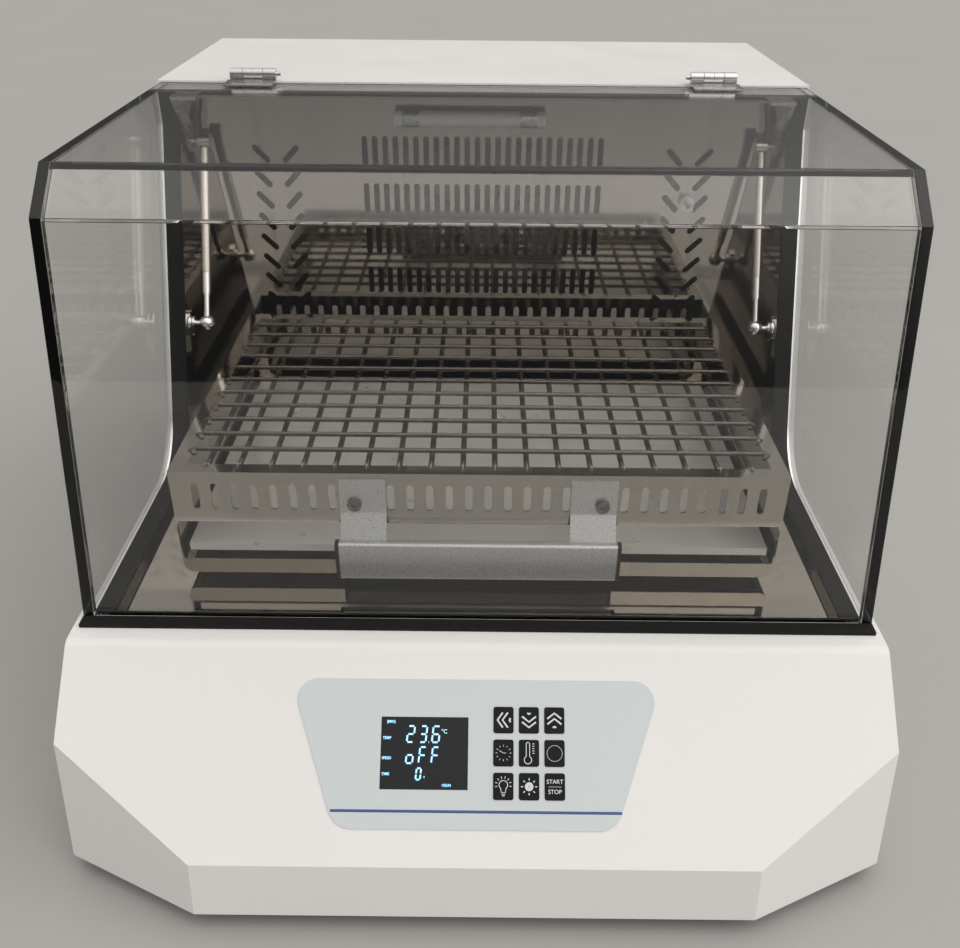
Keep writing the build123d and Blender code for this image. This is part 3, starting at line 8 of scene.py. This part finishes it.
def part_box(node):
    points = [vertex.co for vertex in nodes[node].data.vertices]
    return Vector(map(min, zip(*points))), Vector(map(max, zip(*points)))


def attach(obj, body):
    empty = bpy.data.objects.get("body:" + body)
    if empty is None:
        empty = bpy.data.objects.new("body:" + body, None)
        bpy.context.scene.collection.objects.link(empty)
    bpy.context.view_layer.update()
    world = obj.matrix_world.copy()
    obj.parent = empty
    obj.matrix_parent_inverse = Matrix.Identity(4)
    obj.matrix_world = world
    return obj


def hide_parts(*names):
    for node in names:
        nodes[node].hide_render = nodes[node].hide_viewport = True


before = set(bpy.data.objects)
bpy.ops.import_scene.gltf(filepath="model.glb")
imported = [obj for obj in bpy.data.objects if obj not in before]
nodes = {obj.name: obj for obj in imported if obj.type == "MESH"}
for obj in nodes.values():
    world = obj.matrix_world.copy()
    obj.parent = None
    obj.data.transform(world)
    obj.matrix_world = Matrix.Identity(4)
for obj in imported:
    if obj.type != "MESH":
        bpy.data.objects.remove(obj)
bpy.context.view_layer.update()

# ---------------------------------------------------------------- casing
# Folded from 2 mm sheet steel, with softly rounded creases where the corner facets
# meet the sloping front.  Finished in white powder coat with a faint orange peel.


def surface(name, colour, roughness, metallic=0.0, stretch=(1, 1, 1), grain=0.02, spread=0.04, tint=0.04,
            relief=0.0, relief_grain=0.0008, sheen=0.5):
    """Material whose gloss and shade wander a little, over a fine relief."""
    material = bpy.data.materials.new(name)
    material.use_nodes = True
    tree = material.node_tree
    shader = tree.nodes["Principled BSDF"]
    shader.inputs["Metallic"].default_value = metallic
    shader.inputs["Specular IOR Level"].default_value = sheen
    place = tree.nodes.new("ShaderNodeTexCoord")
    turn = tree.nodes.new("ShaderNodeMapping")
    turn.inputs["Scale"].default_value = stretch
    tree.links.new(place.outputs["Object"], turn.inputs["Vector"])
    mottle = tree.nodes.new("ShaderNodeTexNoise")
    mottle.inputs["Scale"].default_value = 1 / grain
    mottle.inputs["Detail"].default_value = 4
    tree.links.new(turn.outputs["Vector"], mottle.inputs["Vector"])
    gloss = tree.nodes.new("ShaderNodeMapRange")
    gloss.inputs["From Min"].default_value = 0.3
    gloss.inputs["From Max"].default_value = 0.7
    gloss.inputs["To Min"].default_value = max(0.01, roughness - spread)
    gloss.inputs["To Max"].default_value = roughness + spread
    tree.links.new(mottle.outputs["Fac"], gloss.inputs["Value"])
    tree.links.new(gloss.outputs["Result"], shader.inputs["Roughness"])
    shade = tree.nodes.new("ShaderNodeMix")
    shade.data_type = "RGBA"
    shade.inputs["A"].default_value = (*[part * (1 - tint) for part in colour], 1)
    shade.inputs["B"].default_value = (*[min(1, part * (1 + tint)) for part in colour], 1)
    tree.links.new(mottle.outputs["Fac"], shade.inputs["Factor"])
    tree.links.new(shade.outputs["Result"], shader.inputs["Base Color"])
    if relief:
        skin = tree.nodes.new("ShaderNodeTexNoise")
        skin.inputs["Scale"].default_value = 1 / relief_grain
        skin.inputs["Detail"].default_value = 2
        tree.links.new(turn.outputs["Vector"], skin.inputs["Vector"])
        bump = tree.nodes.new("ShaderNodeBump")
        bump.inputs["Strength"].default_value = relief
        bump.inputs["Distance"].default_value = 0.0002
        tree.links.new(skin.outputs["Fac"], bump.inputs["Height"])
        tree.links.new(bump.outputs["Normal"], shader.inputs["Normal"])
    return material


def dress(material, *names):
    """Gives CAD nodes this material."""
    for name in names:
        for held in nodes[name].material_slots:
            held.material = material


def add_piece(name, mesh, material, body, slot, *replaced):
    """Object made from a finished bmesh, riding on its body."""
    data = bpy.data.meshes.new(name)
    mesh.to_mesh(data)
    mesh.free()
    data.materials.append(material)
    piece = bpy.data.objects.new(name, data)
    bpy.context.collection.objects.link(piece)
    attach(piece, body)
    if replaced:
        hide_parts(*replaced)
    return piece


def rounded(name, node, material, body, slot, radius, segments=2, shrink=0.0):
    """Stands for a CAD solid, with its sharp edges rounded and its skin drawn in by shrink."""
    mesh = bmesh.new()
    mesh.from_mesh(nodes[node].data)
    bmesh.ops.remove_doubles(mesh, verts=mesh.verts, dist=0.00001)
    bmesh.ops.dissolve_limit(mesh, angle_limit=radians(1), verts=mesh.verts, edges=mesh.edges)
    if shrink:
        mesh.normal_update()
        moves = [(vert, vert.normal * vert.calc_shell_factor() * shrink) for vert in mesh.verts]
        for vert, move in moves:
            vert.co -= move
    sharp = [edge for edge in mesh.edges if edge.is_manifold and edge.calc_face_angle() > radians(20)]
    bmesh.ops.bevel(mesh, geom=sharp, offset=radius, segments=segments, profile=0.5, affect="EDGES",
                    material=-1, clamp_overlap=True)
    for face in mesh.faces:
        face.smooth = True
    piece = add_piece(name, mesh, material, body, slot, node)
    piece.data.set_sharp_from_angle(angle=radians(40))
    piece.modifiers.new("even shading", "WEIGHTED_NORMAL").keep_sharp = True
    return piece


powder_coat = surface("white powder coat", (0.81, 0.79, 0.775), 0.36, grain=0.09, spread=0.03, tint=0.012,
                      relief=0.12, relief_grain=0.0011)
rounded("casing_shell", "outer_casing", powder_coat, "base", "white_paint", 0.0012, 3)
dress(powder_coat, "rear_panel")

# ---------------------------------------------------------------- base tray, feet and casing screws
# A shallow tray of black-painted sheet closes the casing from below on four rubber feet.
# Plated pan-head screws hold tray and rear panel.
black_paint = surface("black paint", (0.014, 0.014, 0.015), 0.45, relief=0.1, sheen=0.3)
dress(black_paint, "base_plate")
dark_rubber = surface("dark rubber", (0.009, 0.009, 0.009), 0.62, spread=0.08, relief=0.2, relief_grain=0.0006,
                      sheen=0.2)
dress(dark_rubber, "feet")
zinc_plate = surface("zinc plate", (0.56, 0.57, 0.58), 0.3, 1.0, grain=0.004, spread=0.08)
dress(zinc_plate, "casing_screws")

# ---------------------------------------------------------------- chamber
# The tub and its rear wall are polished stainless sheet, bright enough to mirror the
# rack, with a slight vertical haze left by the polishing; the platform plate is duller and paler.
polished = surface("polished stainless", (0.40, 0.365, 0.325), 0.05, 1.0, stretch=(9, 9, 1), grain=0.05,
                   spread=0.02, tint=0.04, relief=0.012, relief_grain=0.02)
dress(polished, "chamber_liner", "rear_wall")
hazy = surface("hazy stainless", (0.90, 0.885, 0.85), 0.33, 0.35, grain=0.03, spread=0.06, tint=0.04)
dress(hazy, "platform_plate")

# ---------------------------------------------------------------- seal
# Black rubber strip glued round the chamber's opening; the hood's sheets rest on it.
dress(dark_rubber, "hood_seal")

# ---------------------------------------------------------------- hood
# Five sheets of clear cast acrylic, 8 mm thick with polished edges, bonded at their seams.
# The side sheets lap the others, so their edges face forwards.


def clear(name, colour, ior):
    """Clear polished plastic with the faintest waviness."""
    material = surface(name, colour, 0.012, spread=0.004, tint=0.01, grain=0.15)
    shader = material.node_tree.nodes["Principled BSDF"]
    shader.inputs["Transmission Weight"].default_value = 1.0
    shader.inputs["IOR"].default_value = ior
    return material


acrylic = clear("clear acrylic", (0.998, 0.995, 0.988), 1.49)
for sheet in ("hood_front", "hood_bevel", "hood_top", "hood_side_left", "hood_side_right"):
    rounded(f"{sheet}_sheet", sheet, acrylic, "hood", "clear_acrylic", 0.0004, 2, shrink=0.0001)

# ---------------------------------------------------------------- hinges
# Folded stainless leaves with rolled knuckles on a staked pin; the base leaf is screwed to
# the casing's step and the hood leaf is clipped round the top sheet's rear edge.
satin_steel = surface("satin stainless", (0.62, 0.61, 0.60), 0.24, 1.0, stretch=(1, 14, 14), grain=0.01, spread=0.06)
for side in ("base", "hood"):
    rounded(f"hinge_{side}_part", f"hinge_{side}_leaves", satin_steel, side, "hinge_steel", 0.0003)

# ---------------------------------------------------------------- gas struts
# Polished tube and rod, with ball joints at both ends; the upper ball stands on a bracket
# under the top sheet, the lower one in front of a round pad on the chamber wall.
strut_steel = surface("polished strut tube", (0.60, 0.55, 0.50), 0.13, 1.0, spread=0.03)
chrome = surface("chrome", (0.75, 0.74, 0.72), 0.06, 1.0, spread=0.02)
dress(strut_steel, "strut_tube_left", "strut_tube_right")
dress(chrome, "strut_rod_left", "strut_rod_right", "strut_anchors")
dress(satin_steel, "strut_brackets")

# ---------------------------------------------------------------- rack
# Folded stainless frame with a row of slots in its front and rear bands.
bright_sheet = surface("bright stainless sheet", (0.40, 0.37, 0.33), 0.09, 1.0, stretch=(1, 12, 12), grain=0.02,
                       spread=0.03, tint=0.05)
dress(bright_sheet, "rack_frame")

# ---------------------------------------------------------------- rack springs
# Close-wound springs of 1.6 mm wire: each turn is a ridge round the coil, and the end turns
# are opened into hooks through the frame's flange.  Long ones run front to back under the cross ones.
wire_radius = 0.0008
coil_radius = 0.0023
hook_radius = 0.0028
lead = 0.002


def wound_springs(name, material, node, slot, count, pitch, half_length, along, lift, middle):
    """A row of like springs; along is the axis they run in, and lift is the coil's side of the flange."""
    mesh = bmesh.new()
    # One coil: a zigzag line along the axis, spun into a screw whose lead is one wire.
    turn = 2 * wire_radius
    turns = int(2 * (half_length - lead) / turn)
    start = -turns * turn / 2
    line = []
    for step in range(2 * turns + 1):
        depth = coil_radius if step % 2 else coil_radius - wire_radius * 0.8
        line.append(mesh.verts.new((start + step * turn / 2, 0, depth)))
    edges = [mesh.edges.new(pair) for pair in zip(line, line[1:])]
    sides = 8
    bmesh.ops.spin(mesh, geom=line + edges, cent=(0, 0, 0), axis=(1, 0, 0), dvec=(turn / sides, 0, 0),
                   angle=2 * pi, steps=sides, use_merge=False, use_duplicate=False)
    bmesh.ops.remove_doubles(mesh, verts=mesh.verts, dist=0.00002)
    bmesh.ops.translate(mesh, vec=(0, 0, lift * hook_radius), verts=mesh.verts)
    # Hooks: the wire leaves the coil's axis and turns round the flange's edge.
    for end in (-1, 1):
        ring = bmesh.ops.create_circle(mesh, cap_ends=False, segments=6, radius=wire_radius)["verts"]
        bmesh.ops.rotate(mesh, cent=(0, 0, 0), matrix=Matrix.Rotation(pi / 2, 3, "Y"), verts=ring)
        bmesh.ops.translate(mesh, vec=(end * (half_length - lead), 0, lift * hook_radius), verts=ring)
        rim = list({edge for vert in ring for edge in vert.link_edges})
        grown = bmesh.ops.extrude_edge_only(mesh, edges=rim)["geom"]
        tip = [part for part in grown if isinstance(part, bmesh.types.BMVert)]
        bmesh.ops.translate(mesh, vec=(end * lead, 0, 0), verts=tip)
        rim = [part for part in grown if isinstance(part, bmesh.types.BMEdge) and set(part.verts) <= set(tip)]
        bmesh.ops.spin(mesh, geom=tip + rim, cent=(end * half_length, 0, 0), axis=(0, 1, 0),
                       angle=end * lift * radians(230), steps=12, use_merge=False, use_duplicate=False)
    bmesh.ops.holes_fill(mesh, edges=mesh.edges, sides=0)
    bmesh.ops.recalc_face_normals(mesh, faces=mesh.faces)
    if along == "Y":
        bmesh.ops.rotate(mesh, cent=(0, 0, 0), matrix=Matrix.Rotation(pi / 2, 3, "Z"), verts=mesh.verts)
    across = Vector((1, 0, 0)) if along == "Y" else Vector((0, 1, 0))
    first = mesh.verts[:] + mesh.edges[:] + mesh.faces[:]
    for number in range(1, count):
        copy = bmesh.ops.duplicate(mesh, geom=first)["geom"]
        bmesh.ops.translate(mesh, vec=across * number * pitch,
                            verts=[part for part in copy if isinstance(part, bmesh.types.BMVert)])
    bmesh.ops.translate(mesh, vec=middle - across * (count - 1) * pitch / 2, verts=mesh.verts)
    for face in mesh.faces:
        face.smooth = True
    return mesh


bright_wire = surface("bright spring wire", (0.26, 0.23, 0.20), 0.2, 1.0, grain=0.004, spread=0.06)
dark_wire = surface("bronzed spring wire", (0.13, 0.112, 0.095), 0.22, 1.0, grain=0.004, spread=0.06)
rack_middle = Vector((0, -0.0474, 0.25675))
long_springs = wound_springs("long", bright_wire, "springs_long", "spring_steel", 18, 0.02426, 0.1398, "Y", -1,
                             rack_middle)
add_piece("long_springs", long_springs, bright_wire, "carriage", "spring_steel", "springs_long")
cross_springs = wound_springs("cross", dark_wire, "springs_cross", "spring_dark", 11, 0.024, 0.2214, "X", 1,
                              rack_middle)
add_piece("cross_springs", cross_springs, dark_wire, "carriage", "spring_dark", "springs_cross")

# ---------------------------------------------------------------- handle
# Aluminium bar in sparkling silver paint with thin black end caps, on two bent straps
# that are held to the rack by socket screws.
silver = surface("silver paint", (0.62, 0.62, 0.61), 0.33, 0.6, grain=0.0009, spread=0.1, tint=0.22,
                 relief=0.25, relief_grain=0.0008)
dark_steel = surface("dark screw steel", (0.20, 0.19, 0.18), 0.28, 1.0, grain=0.003, spread=0.06)
rounded("handle_bar", "rack_handle", silver, "carriage", "handle_silver", 0.0004)
dress(black_paint, "handle_caps")
rounded("handle_screws", "rack_screws", dark_steel, "carriage", "screw_steel", 0.0003)

# ---------------------------------------------------------------- carriage and drive
# Cast carriage on three eccentric shafts in a cast frame, turned by a belt from the motor.
cast = surface("cast aluminium", (0.42, 0.42, 0.43), 0.5, 1.0, grain=0.01, spread=0.1, relief=0.3, relief_grain=0.0012)
turned = surface("turned steel", (0.50, 0.50, 0.50), 0.25, 1.0, grain=0.003, spread=0.08)
motor_paint = surface("satin black motor paint", (0.03, 0.03, 0.032), 0.4, relief=0.15)
dress(cast, "carriage_frame", "drive_frame", "fan_impeller")
dress(turned, "drive_crank", "idler_crank_left", "idler_crank_right", "drive_bearings", "driven_pulley",
      "motor_pulley")
dress(motor_paint, "drive_motor", "fan_motor")
dress(dark_rubber, "drive_belt")

# ---------------------------------------------------------------- air circulation, lamp and sensor
# Plated sheet plenum with heater rods and fan behind the rear wall; a tubular lamp and
# the temperature probe stand in front of it.
heat_steel = surface("heat-tinted steel", (0.30, 0.27, 0.24), 0.35, 1.0, grain=0.006, spread=0.1, tint=0.2)
dress(zinc_plate, "power_supply", "temperature_sensor")
dress(heat_steel, "fan_plenum", "heater")
lamp_white = surface("frosted lamp tube", (0.82, 0.81, 0.78), 0.3, grain=0.01)
dress(lamp_white, "chamber_lamp")
lamp_low, lamp_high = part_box("chamber_lamp")
lamp_radius = (lamp_high.z - lamp_low.z) / 2
socket_length = 0.016
for side, end in (("left", lamp_low.x + socket_length), ("right", lamp_high.x - socket_length)):
    sleeve = bmesh.new()
    bmesh.ops.create_cone(sleeve, cap_ends=True, segments=40, radius1=lamp_radius + 0.0004,
                          radius2=lamp_radius + 0.0004, depth=socket_length)
    bmesh.ops.bevel(sleeve, geom=[edge for edge in sleeve.edges if edge.calc_face_angle() > 1], offset=0.0006,
                    segments=2, profile=0.5, affect="EDGES", material=-1)
    bmesh.ops.rotate(sleeve, cent=(0, 0, 0), matrix=Matrix.Rotation(pi / 2, 3, "Y"), verts=sleeve.verts)
    bmesh.ops.translate(sleeve, vec=(end, lamp_low.y + lamp_radius, lamp_low.z + lamp_radius), verts=sleeve.verts)
    add_piece(f"lamp_socket_{side}", sleeve, zinc_plate, "base", "lamp_white")

# ---------------------------------------------------------------- control panel film
# Grey-blue satin film printed on its back, stuck on the slope, with a thin blue rule near its foot.
slope_angle = radians(43.5)
panel = Matrix((
    (1, 0, 0, 0),
    (0, cos(slope_angle), -sin(slope_angle), -0.392),
    (0, sin(slope_angle), cos(slope_angle), 0.0573),
    (0, 0, 0, 1),
))
film = surface("satin panel film", (0.60, 0.64, 0.65), 0.3, grain=0.05, spread=0.02, tint=0.003, relief=0.03,
               relief_grain=0.003)
dress(film, "control_overlay")


def printed(name, strokes, width, material, body, height=0.00006, lift=0.00081, centre=(0, 0)):
    """Thin raised lines on the panel.  Each stroke is a list of places in millimetres; a closed one repeats its first."""
    curve = bpy.data.curves.new(name, "CURVE")
    curve.dimensions = "3D"
    curve.bevel_depth = width / 2000
    curve.bevel_resolution = 1
    curve.use_fill_caps = True
    for stroke in strokes:
        closed = len(stroke) > 2 and stroke[0] == stroke[-1]
        places = stroke[:-1] if closed else stroke
        spline = curve.splines.new("POLY")
        spline.points.add(len(places) - 1)
        spline.use_cyclic_u = closed
        for point, (x, y) in zip(spline.points, places):
            point.co = (x / 1000, y / 1000, 0, 1)
    drawing = bpy.data.objects.new(name, curve)
    data = bpy.data.meshes.new_from_object(drawing)
    bpy.data.objects.remove(drawing)
    flat = Matrix.Diagonal((1, 1, height * 1000 / width, 1))
    data.transform(panel @ Matrix.Translation((centre[0] / 1000, centre[1] / 1000, lift)) @ flat)
    data.materials.clear()
    data.materials.append(material)
    piece = bpy.data.objects.new(name, data)
    bpy.context.collection.objects.link(piece)
    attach(piece, body)
    return piece


def lettering(name, text, size, material, body, centre, lift=0.00081, align="CENTER"):
    """Plain words printed on the panel, size in millimetres."""
    words = bpy.data.curves.new(name, "FONT")
    words.body = text
    words.size = size / 1000
    words.extrude = 0.00003
    words.offset = 0.00002
    words.align_x = align
    words.align_y = "CENTER"
    drawing = bpy.data.objects.new(name, words)
    data = bpy.data.meshes.new_from_object(drawing)
    bpy.data.objects.remove(drawing)
    data.transform(panel @ Matrix.Translation((centre[0] / 1000, centre[1] / 1000, lift)))
    data.materials.clear()
    data.materials.append(material)
    piece = bpy.data.objects.new(name, data)
    bpy.context.collection.objects.link(piece)
    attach(piece, body)
    return piece


blue_ink = surface("blue ink", (0.055, 0.085, 0.30), 0.35, tint=0.03)
printed("blue_rule", [[(-101.5, 37), (102.5, 37)]], 1.9, blue_ink, "base")

# ---------------------------------------------------------------- display
# Dark window over a backlit display: pale blue seven-segment figures and small words, with a painted blue glow round
# them.
smoked = surface("smoked window", (0.018, 0.018, 0.019), 0.16, grain=0.02, spread=0.02, sheen=0.2)
dress(smoked, "display_window")
dress(black_paint, "display_module")
glow = surface("backlit figures", (0.45, 0.80, 0.95), 0.5)
glow_shader = glow.node_tree.nodes["Principled BSDF"]
glow_shader.inputs["Emission Color"].default_value = (0.42, 0.85, 1.0, 1)
glow_shader.inputs["Emission Strength"].default_value = 0.75
# Painted glow: dim blue emissive strokes, wider than the figures and laid under them and under the words, stand in for
# light spreading through the smoked window.
painted_glow = surface("painted blue glow", (0.03, 0.10, 0.22), 0.5)
painted_glow.node_tree.nodes["Principled BSDF"].inputs["Emission Color"].default_value = (0.02, 0.12, 0.35, 1)
painted_glow.node_tree.nodes["Principled BSDF"].inputs["Emission Strength"].default_value = 0.6
bars = {
    "a": ((0.12, 1), (0.88, 1)), "b": ((1, 0.94), (1, 0.56)), "c": ((1, 0.44), (1, 0.06)),
    "d": ((0.12, 0), (0.88, 0)), "e": ((0, 0.44), (0, 0.06)), "f": ((0, 0.94), (0, 0.56)),
    "g": ((0.12, 0.5), (0.88, 0.5)),
}
figures = {"2": "abged", "3": "abgcd", "6": "afgecd", "o": "gcde", "F": "afge", "0": "abcdef"}


def seven_segment(text, left, foot, width, tall, step):
    """Strokes of a row of figures that lean a little to the right."""
    strokes = []
    for number, figure in enumerate(text):
        for bar in figures[figure]:
            strokes.append([
                (left + number * step + x * width + y * tall * 0.1, foot + y * tall) for x, y in bars[bar]
            ])
    return strokes


readout = (
    seven_segment("2", -49.2, 83.6, 4.6, 11.0, 9.6) + seven_segment("3", -40.0, 83.6, 4.2, 11.0, 9.6)
    + seven_segment("6", -31.4, 83.6, 4.8, 11.0, 9.6)
    + seven_segment("o", -49.6, 69.2, 4.6, 11.0, 9.0) + seven_segment("FF", -40.6, 69.2, 4.4, 11.0, 9.0)
    + seven_segment("0", -42.4, 58.2, 3.2, 7.6, 9.0)
    + [[(-33.6, 83.6), (-33.3, 83.6)], [(-36.6, 60.0), (-36.0, 60.0)]]
)
# Painted glow under the figures: a wider, dim emissive copy of their strokes.
printed("readout_painted_glow", readout, 1.9, painted_glow, "base", height=0.00004, lift=0.00082)
printed("readout", readout, 1.15, glow, "base", height=0.00008, lift=0.00083)
words = (
    ("minutes_word", "[MIN]", -60.5, 97.6), ("temperature_word", "TEMP", -63.2, 86.4),
    ("speed_word", "SPEED", -63.2, 72.6), ("time_word", "TIME", -63.6, 61.8),
    ("running_word", ">RUN", -20.6, 54.4), ("degree_word", "°C", -22.6, 91.0),
)
for name, text, x, y in words:
    lettering(name, text, 2.5 if name != "degree_word" else 4.0, glow, "base", (x, y), lift=0.00084)
# Painted glow under the words: dim emissive bars.
printed("word_painted_glow", [[(x - 2.8, y), (x + 2.8, y)] for name, text, x, y in words[:-1]], 2.6, painted_glow, "base",
        height=0.00004, lift=0.00082)

# ---------------------------------------------------------------- keys
# Nine satin black caps standing just proud of the film, each with a white legend.
key_plastic = surface("satin black key", (0.008, 0.008, 0.009), 0.34, grain=0.01, spread=0.05, relief=0.08, sheen=0.15)
white_ink = surface("white ink", (0.78, 0.78, 0.77), 0.45, tint=0.02)
key_lift = 0.00161


def circle(radius, x=0.0, y=0.0, first=0.0, last=360.0, pieces=28):
    """Places along a circle or an arc of it."""
    return [
        (x + radius * cos(radians(first + (last - first) * step / pieces)),
         y + radius * sin(radians(first + (last - first) * step / pieces)))
        for step in range(pieces)
    ] + [(x + radius * cos(radians(last)), y + radius * sin(radians(last)))]


def ring(radius, x=0.0, y=0.0, pieces=28):
    """Closed circle."""
    places = circle(radius, x, y, pieces=pieces)
    return places[:-1] + [places[0]]


def rays(inner, outer, count, first=0.0, last=360.0):
    """Short spokes round a centre."""
    strokes = []
    for number in range(count):
        turn = radians(first + (last - first) * number / count)
        strokes.append([(inner * cos(turn), inner * sin(turn)), (outer * cos(turn), outer * sin(turn))])
    return strokes


legends = {
    1: (1.35, [[(x + 3.8, 5.2), (x, 0), (x + 3.8, -5.2)] for x in (-4.4, -0.8)] + [[(4.9, 1.4), (4.1, 0), (4.9, -1.4)]]),
    2: (1.35, [[(-5.0, y + 3.8), (0, y), (5.0, y + 3.8)] for y in (-5.0, -1.2)] + [[(-1.2, 5.0), (0, 4.2), (1.2, 5.0)]]),
    3: (1.35, [[(-5.0, y - 3.8), (0, y), (5.0, y - 3.8)] for y in (5.0, 1.2)] + [[(-1.2, -5.0), (0, -4.2), (1.2, -5.0)]]),
    4: (0.4, rays(4.4, 5.6, 12) + [[(0, 0), (-3.0, 1.6)], [(0, 0), (1.8, 0)]]),
    5: (0.6, [circle(2.6, -0.8, -4.6, 118, 422) + [(0.4, 6.2)] + circle(1.2, -0.8, 6.2, 0, 180, 8)
              + [(-2.02, -2.3)]] + [[(2.4, y), (3.8, y)] for y in (0, 1.6, 3.2, 4.8, 6.4)]),
    6: (0.3, [ring(5.4, 0, 0, 36)]),
    7: (0.55, [[(x * 1.0, y + 1.0) for x, y in circle(3.0, 0, 0, -52, 232)] + [(-1.5, -4.0), (1.5, -4.0), (1.86, -1.4)]]
              + [[(-1.3, -5.2), (1.3, -5.2)], [(-1.0, -6.3), (1.0, -6.3)]]
              + [[(x, y + 1.0) for x, y in ray] for ray in rays(4.4, 5.9, 8, -10, 221)]),
    8: (0.8, [ring(r) for r in (2.6, 1.8, 1.0)] + [[(-0.4, 0), (0.4, 0)]] + rays(4.2, 5.7, 8)),
    9: (0.25, [[(-4.6, 0), (4.6, 0)]]),
}
for number in range(1, 10):
    centre = (37.6 + ((number - 1) % 3 - 1) * 18.1, 76.8 + (1 - (number - 1) // 3) * 22.6)
    body = f"key_{number}"
    rounded(f"{body}_cap", body, key_plastic, body, "key_black", 0.0003)
    width, strokes = legends[number]
    printed(f"{body}_legend", strokes, width, white_ink, body, lift=key_lift, centre=centre)
for text, y in (("START", 3.4), ("STOP", -3.4)):
    lettering(f"{text.lower()}_word", text, 4.0, white_ink, "key_9", (55.7, 54.2 + y), lift=key_lift)
solder_mask = surface("green circuit board", (0.02, 0.12, 0.06), 0.35)
dress(solder_mask, "control_board")

# ---------------------------------------------------------------- mains inlet and switch
# Black moulded inlet with a rocker switch above its socket.
black_moulding = surface("black moulding", (0.02, 0.02, 0.02), 0.38, relief=0.1)
dress(black_moulding, "power_inlet")
rounded("rocker", "power_switch", black_moulding, "switch", "rocker_black", 0.0004)

# ---------------------------------------------------------------- studio
# Pale floor under a soft, even sky that is brightest overhead and to the front right.
floor_mesh = bmesh.new()
bmesh.ops.create_circle(floor_mesh, cap_ends=True, segments=96, radius=30)
bmesh.ops.inset_region(floor_mesh, faces=floor_mesh.faces[:], thickness=24, use_even_offset=True)
floor_data = bpy.data.meshes.new("floor")
floor_mesh.to_mesh(floor_data)
floor_mesh.free()
floor = bpy.data.objects.new("floor", floor_data)
bpy.context.collection.objects.link(floor)
floor_data.materials.append(surface("pale floor", (0.38, 0.372, 0.355), 0.6, grain=0.4, tint=0.02, relief=0.05,
                                    relief_grain=0.01))

world = bpy.data.worlds.new("soft sky")
bpy.context.scene.world = world
world.use_nodes = True
sky = world.node_tree
outlook = sky.nodes.new("ShaderNodeTexCoord")
background = sky.nodes["Background"]


def lobe(direction, low, high, strength):
    """Soft patch of light round a direction."""
    facing = sky.nodes.new("ShaderNodeVectorMath")
    facing.operation = "DOT_PRODUCT"
    facing.inputs[1].default_value = Vector(direction).normalized()
    sky.links.new(outlook.outputs["Generated"], facing.inputs[0])
    ramp = sky.nodes.new("ShaderNodeMapRange")
    ramp.interpolation_type = "SMOOTHSTEP"
    ramp.inputs["From Min"].default_value = low
    ramp.inputs["From Max"].default_value = high
    ramp.inputs["To Max"].default_value = strength
    sky.links.new(facing.outputs["Value"], ramp.inputs["Value"])
    return ramp.outputs["Result"]


level = None
for patch in (lobe((0.15, -0.05, 1), 0.05, 1.0, 1.12), lobe((0.85, -0.35, 0.6), 0.45, 0.95, 0.85)):
    total = sky.nodes.new("ShaderNodeMath")
    total.operation = "ADD"
    total.inputs[1].default_value = 0.1
    sky.links.new(patch, total.inputs[0])
    if level:
        sky.links.new(level, total.inputs[1])
    level = total.outputs["Value"]
seen = sky.nodes.new("ShaderNodeLightPath")
choose = sky.nodes.new("ShaderNodeMix")
choose.data_type = "FLOAT"
choose.inputs["B"].default_value = 0.85
sky.links.new(seen.outputs["Is Camera Ray"], choose.inputs["Factor"])
sky.links.new(level, choose.inputs["A"])
sky.links.new(choose.outputs["Result"], background.inputs["Strength"])
background.inputs["Color"].default_value = (1.0, 0.985, 0.96, 1)

# ---------------------------------------------------------------- camera
# Looks down on the front from just above the hood, as someone standing at the bench does.
lens = bpy.data.cameras.new("camera")
lens.sensor_fit = "HORIZONTAL"
lens.sensor_width = 36
lens.lens = 970.98 / 960 * 36
lens.shift_y = 2.7 / 960
lens.clip_start = 0.05
camera = bpy.data.objects.new("camera", lens)
bpy.context.collection.objects.link(camera)
right = Vector((0.99994921, 0.00686752, 0.00737595))
up = Vector((-0.00989685, 0.53097616, 0.84732896))
forward = Vector((-0.0019026, 0.84735893, -0.53101716))
turned_by = Matrix((right, up, -forward)).transposed().to_4x4()
camera.matrix_world = Matrix.Translation((0.0023, -0.81553, 0.64131)) @ turned_by
bpy.context.scene.camera = camera
bpy.context.scene.view_settings.view_transform = "Standard"
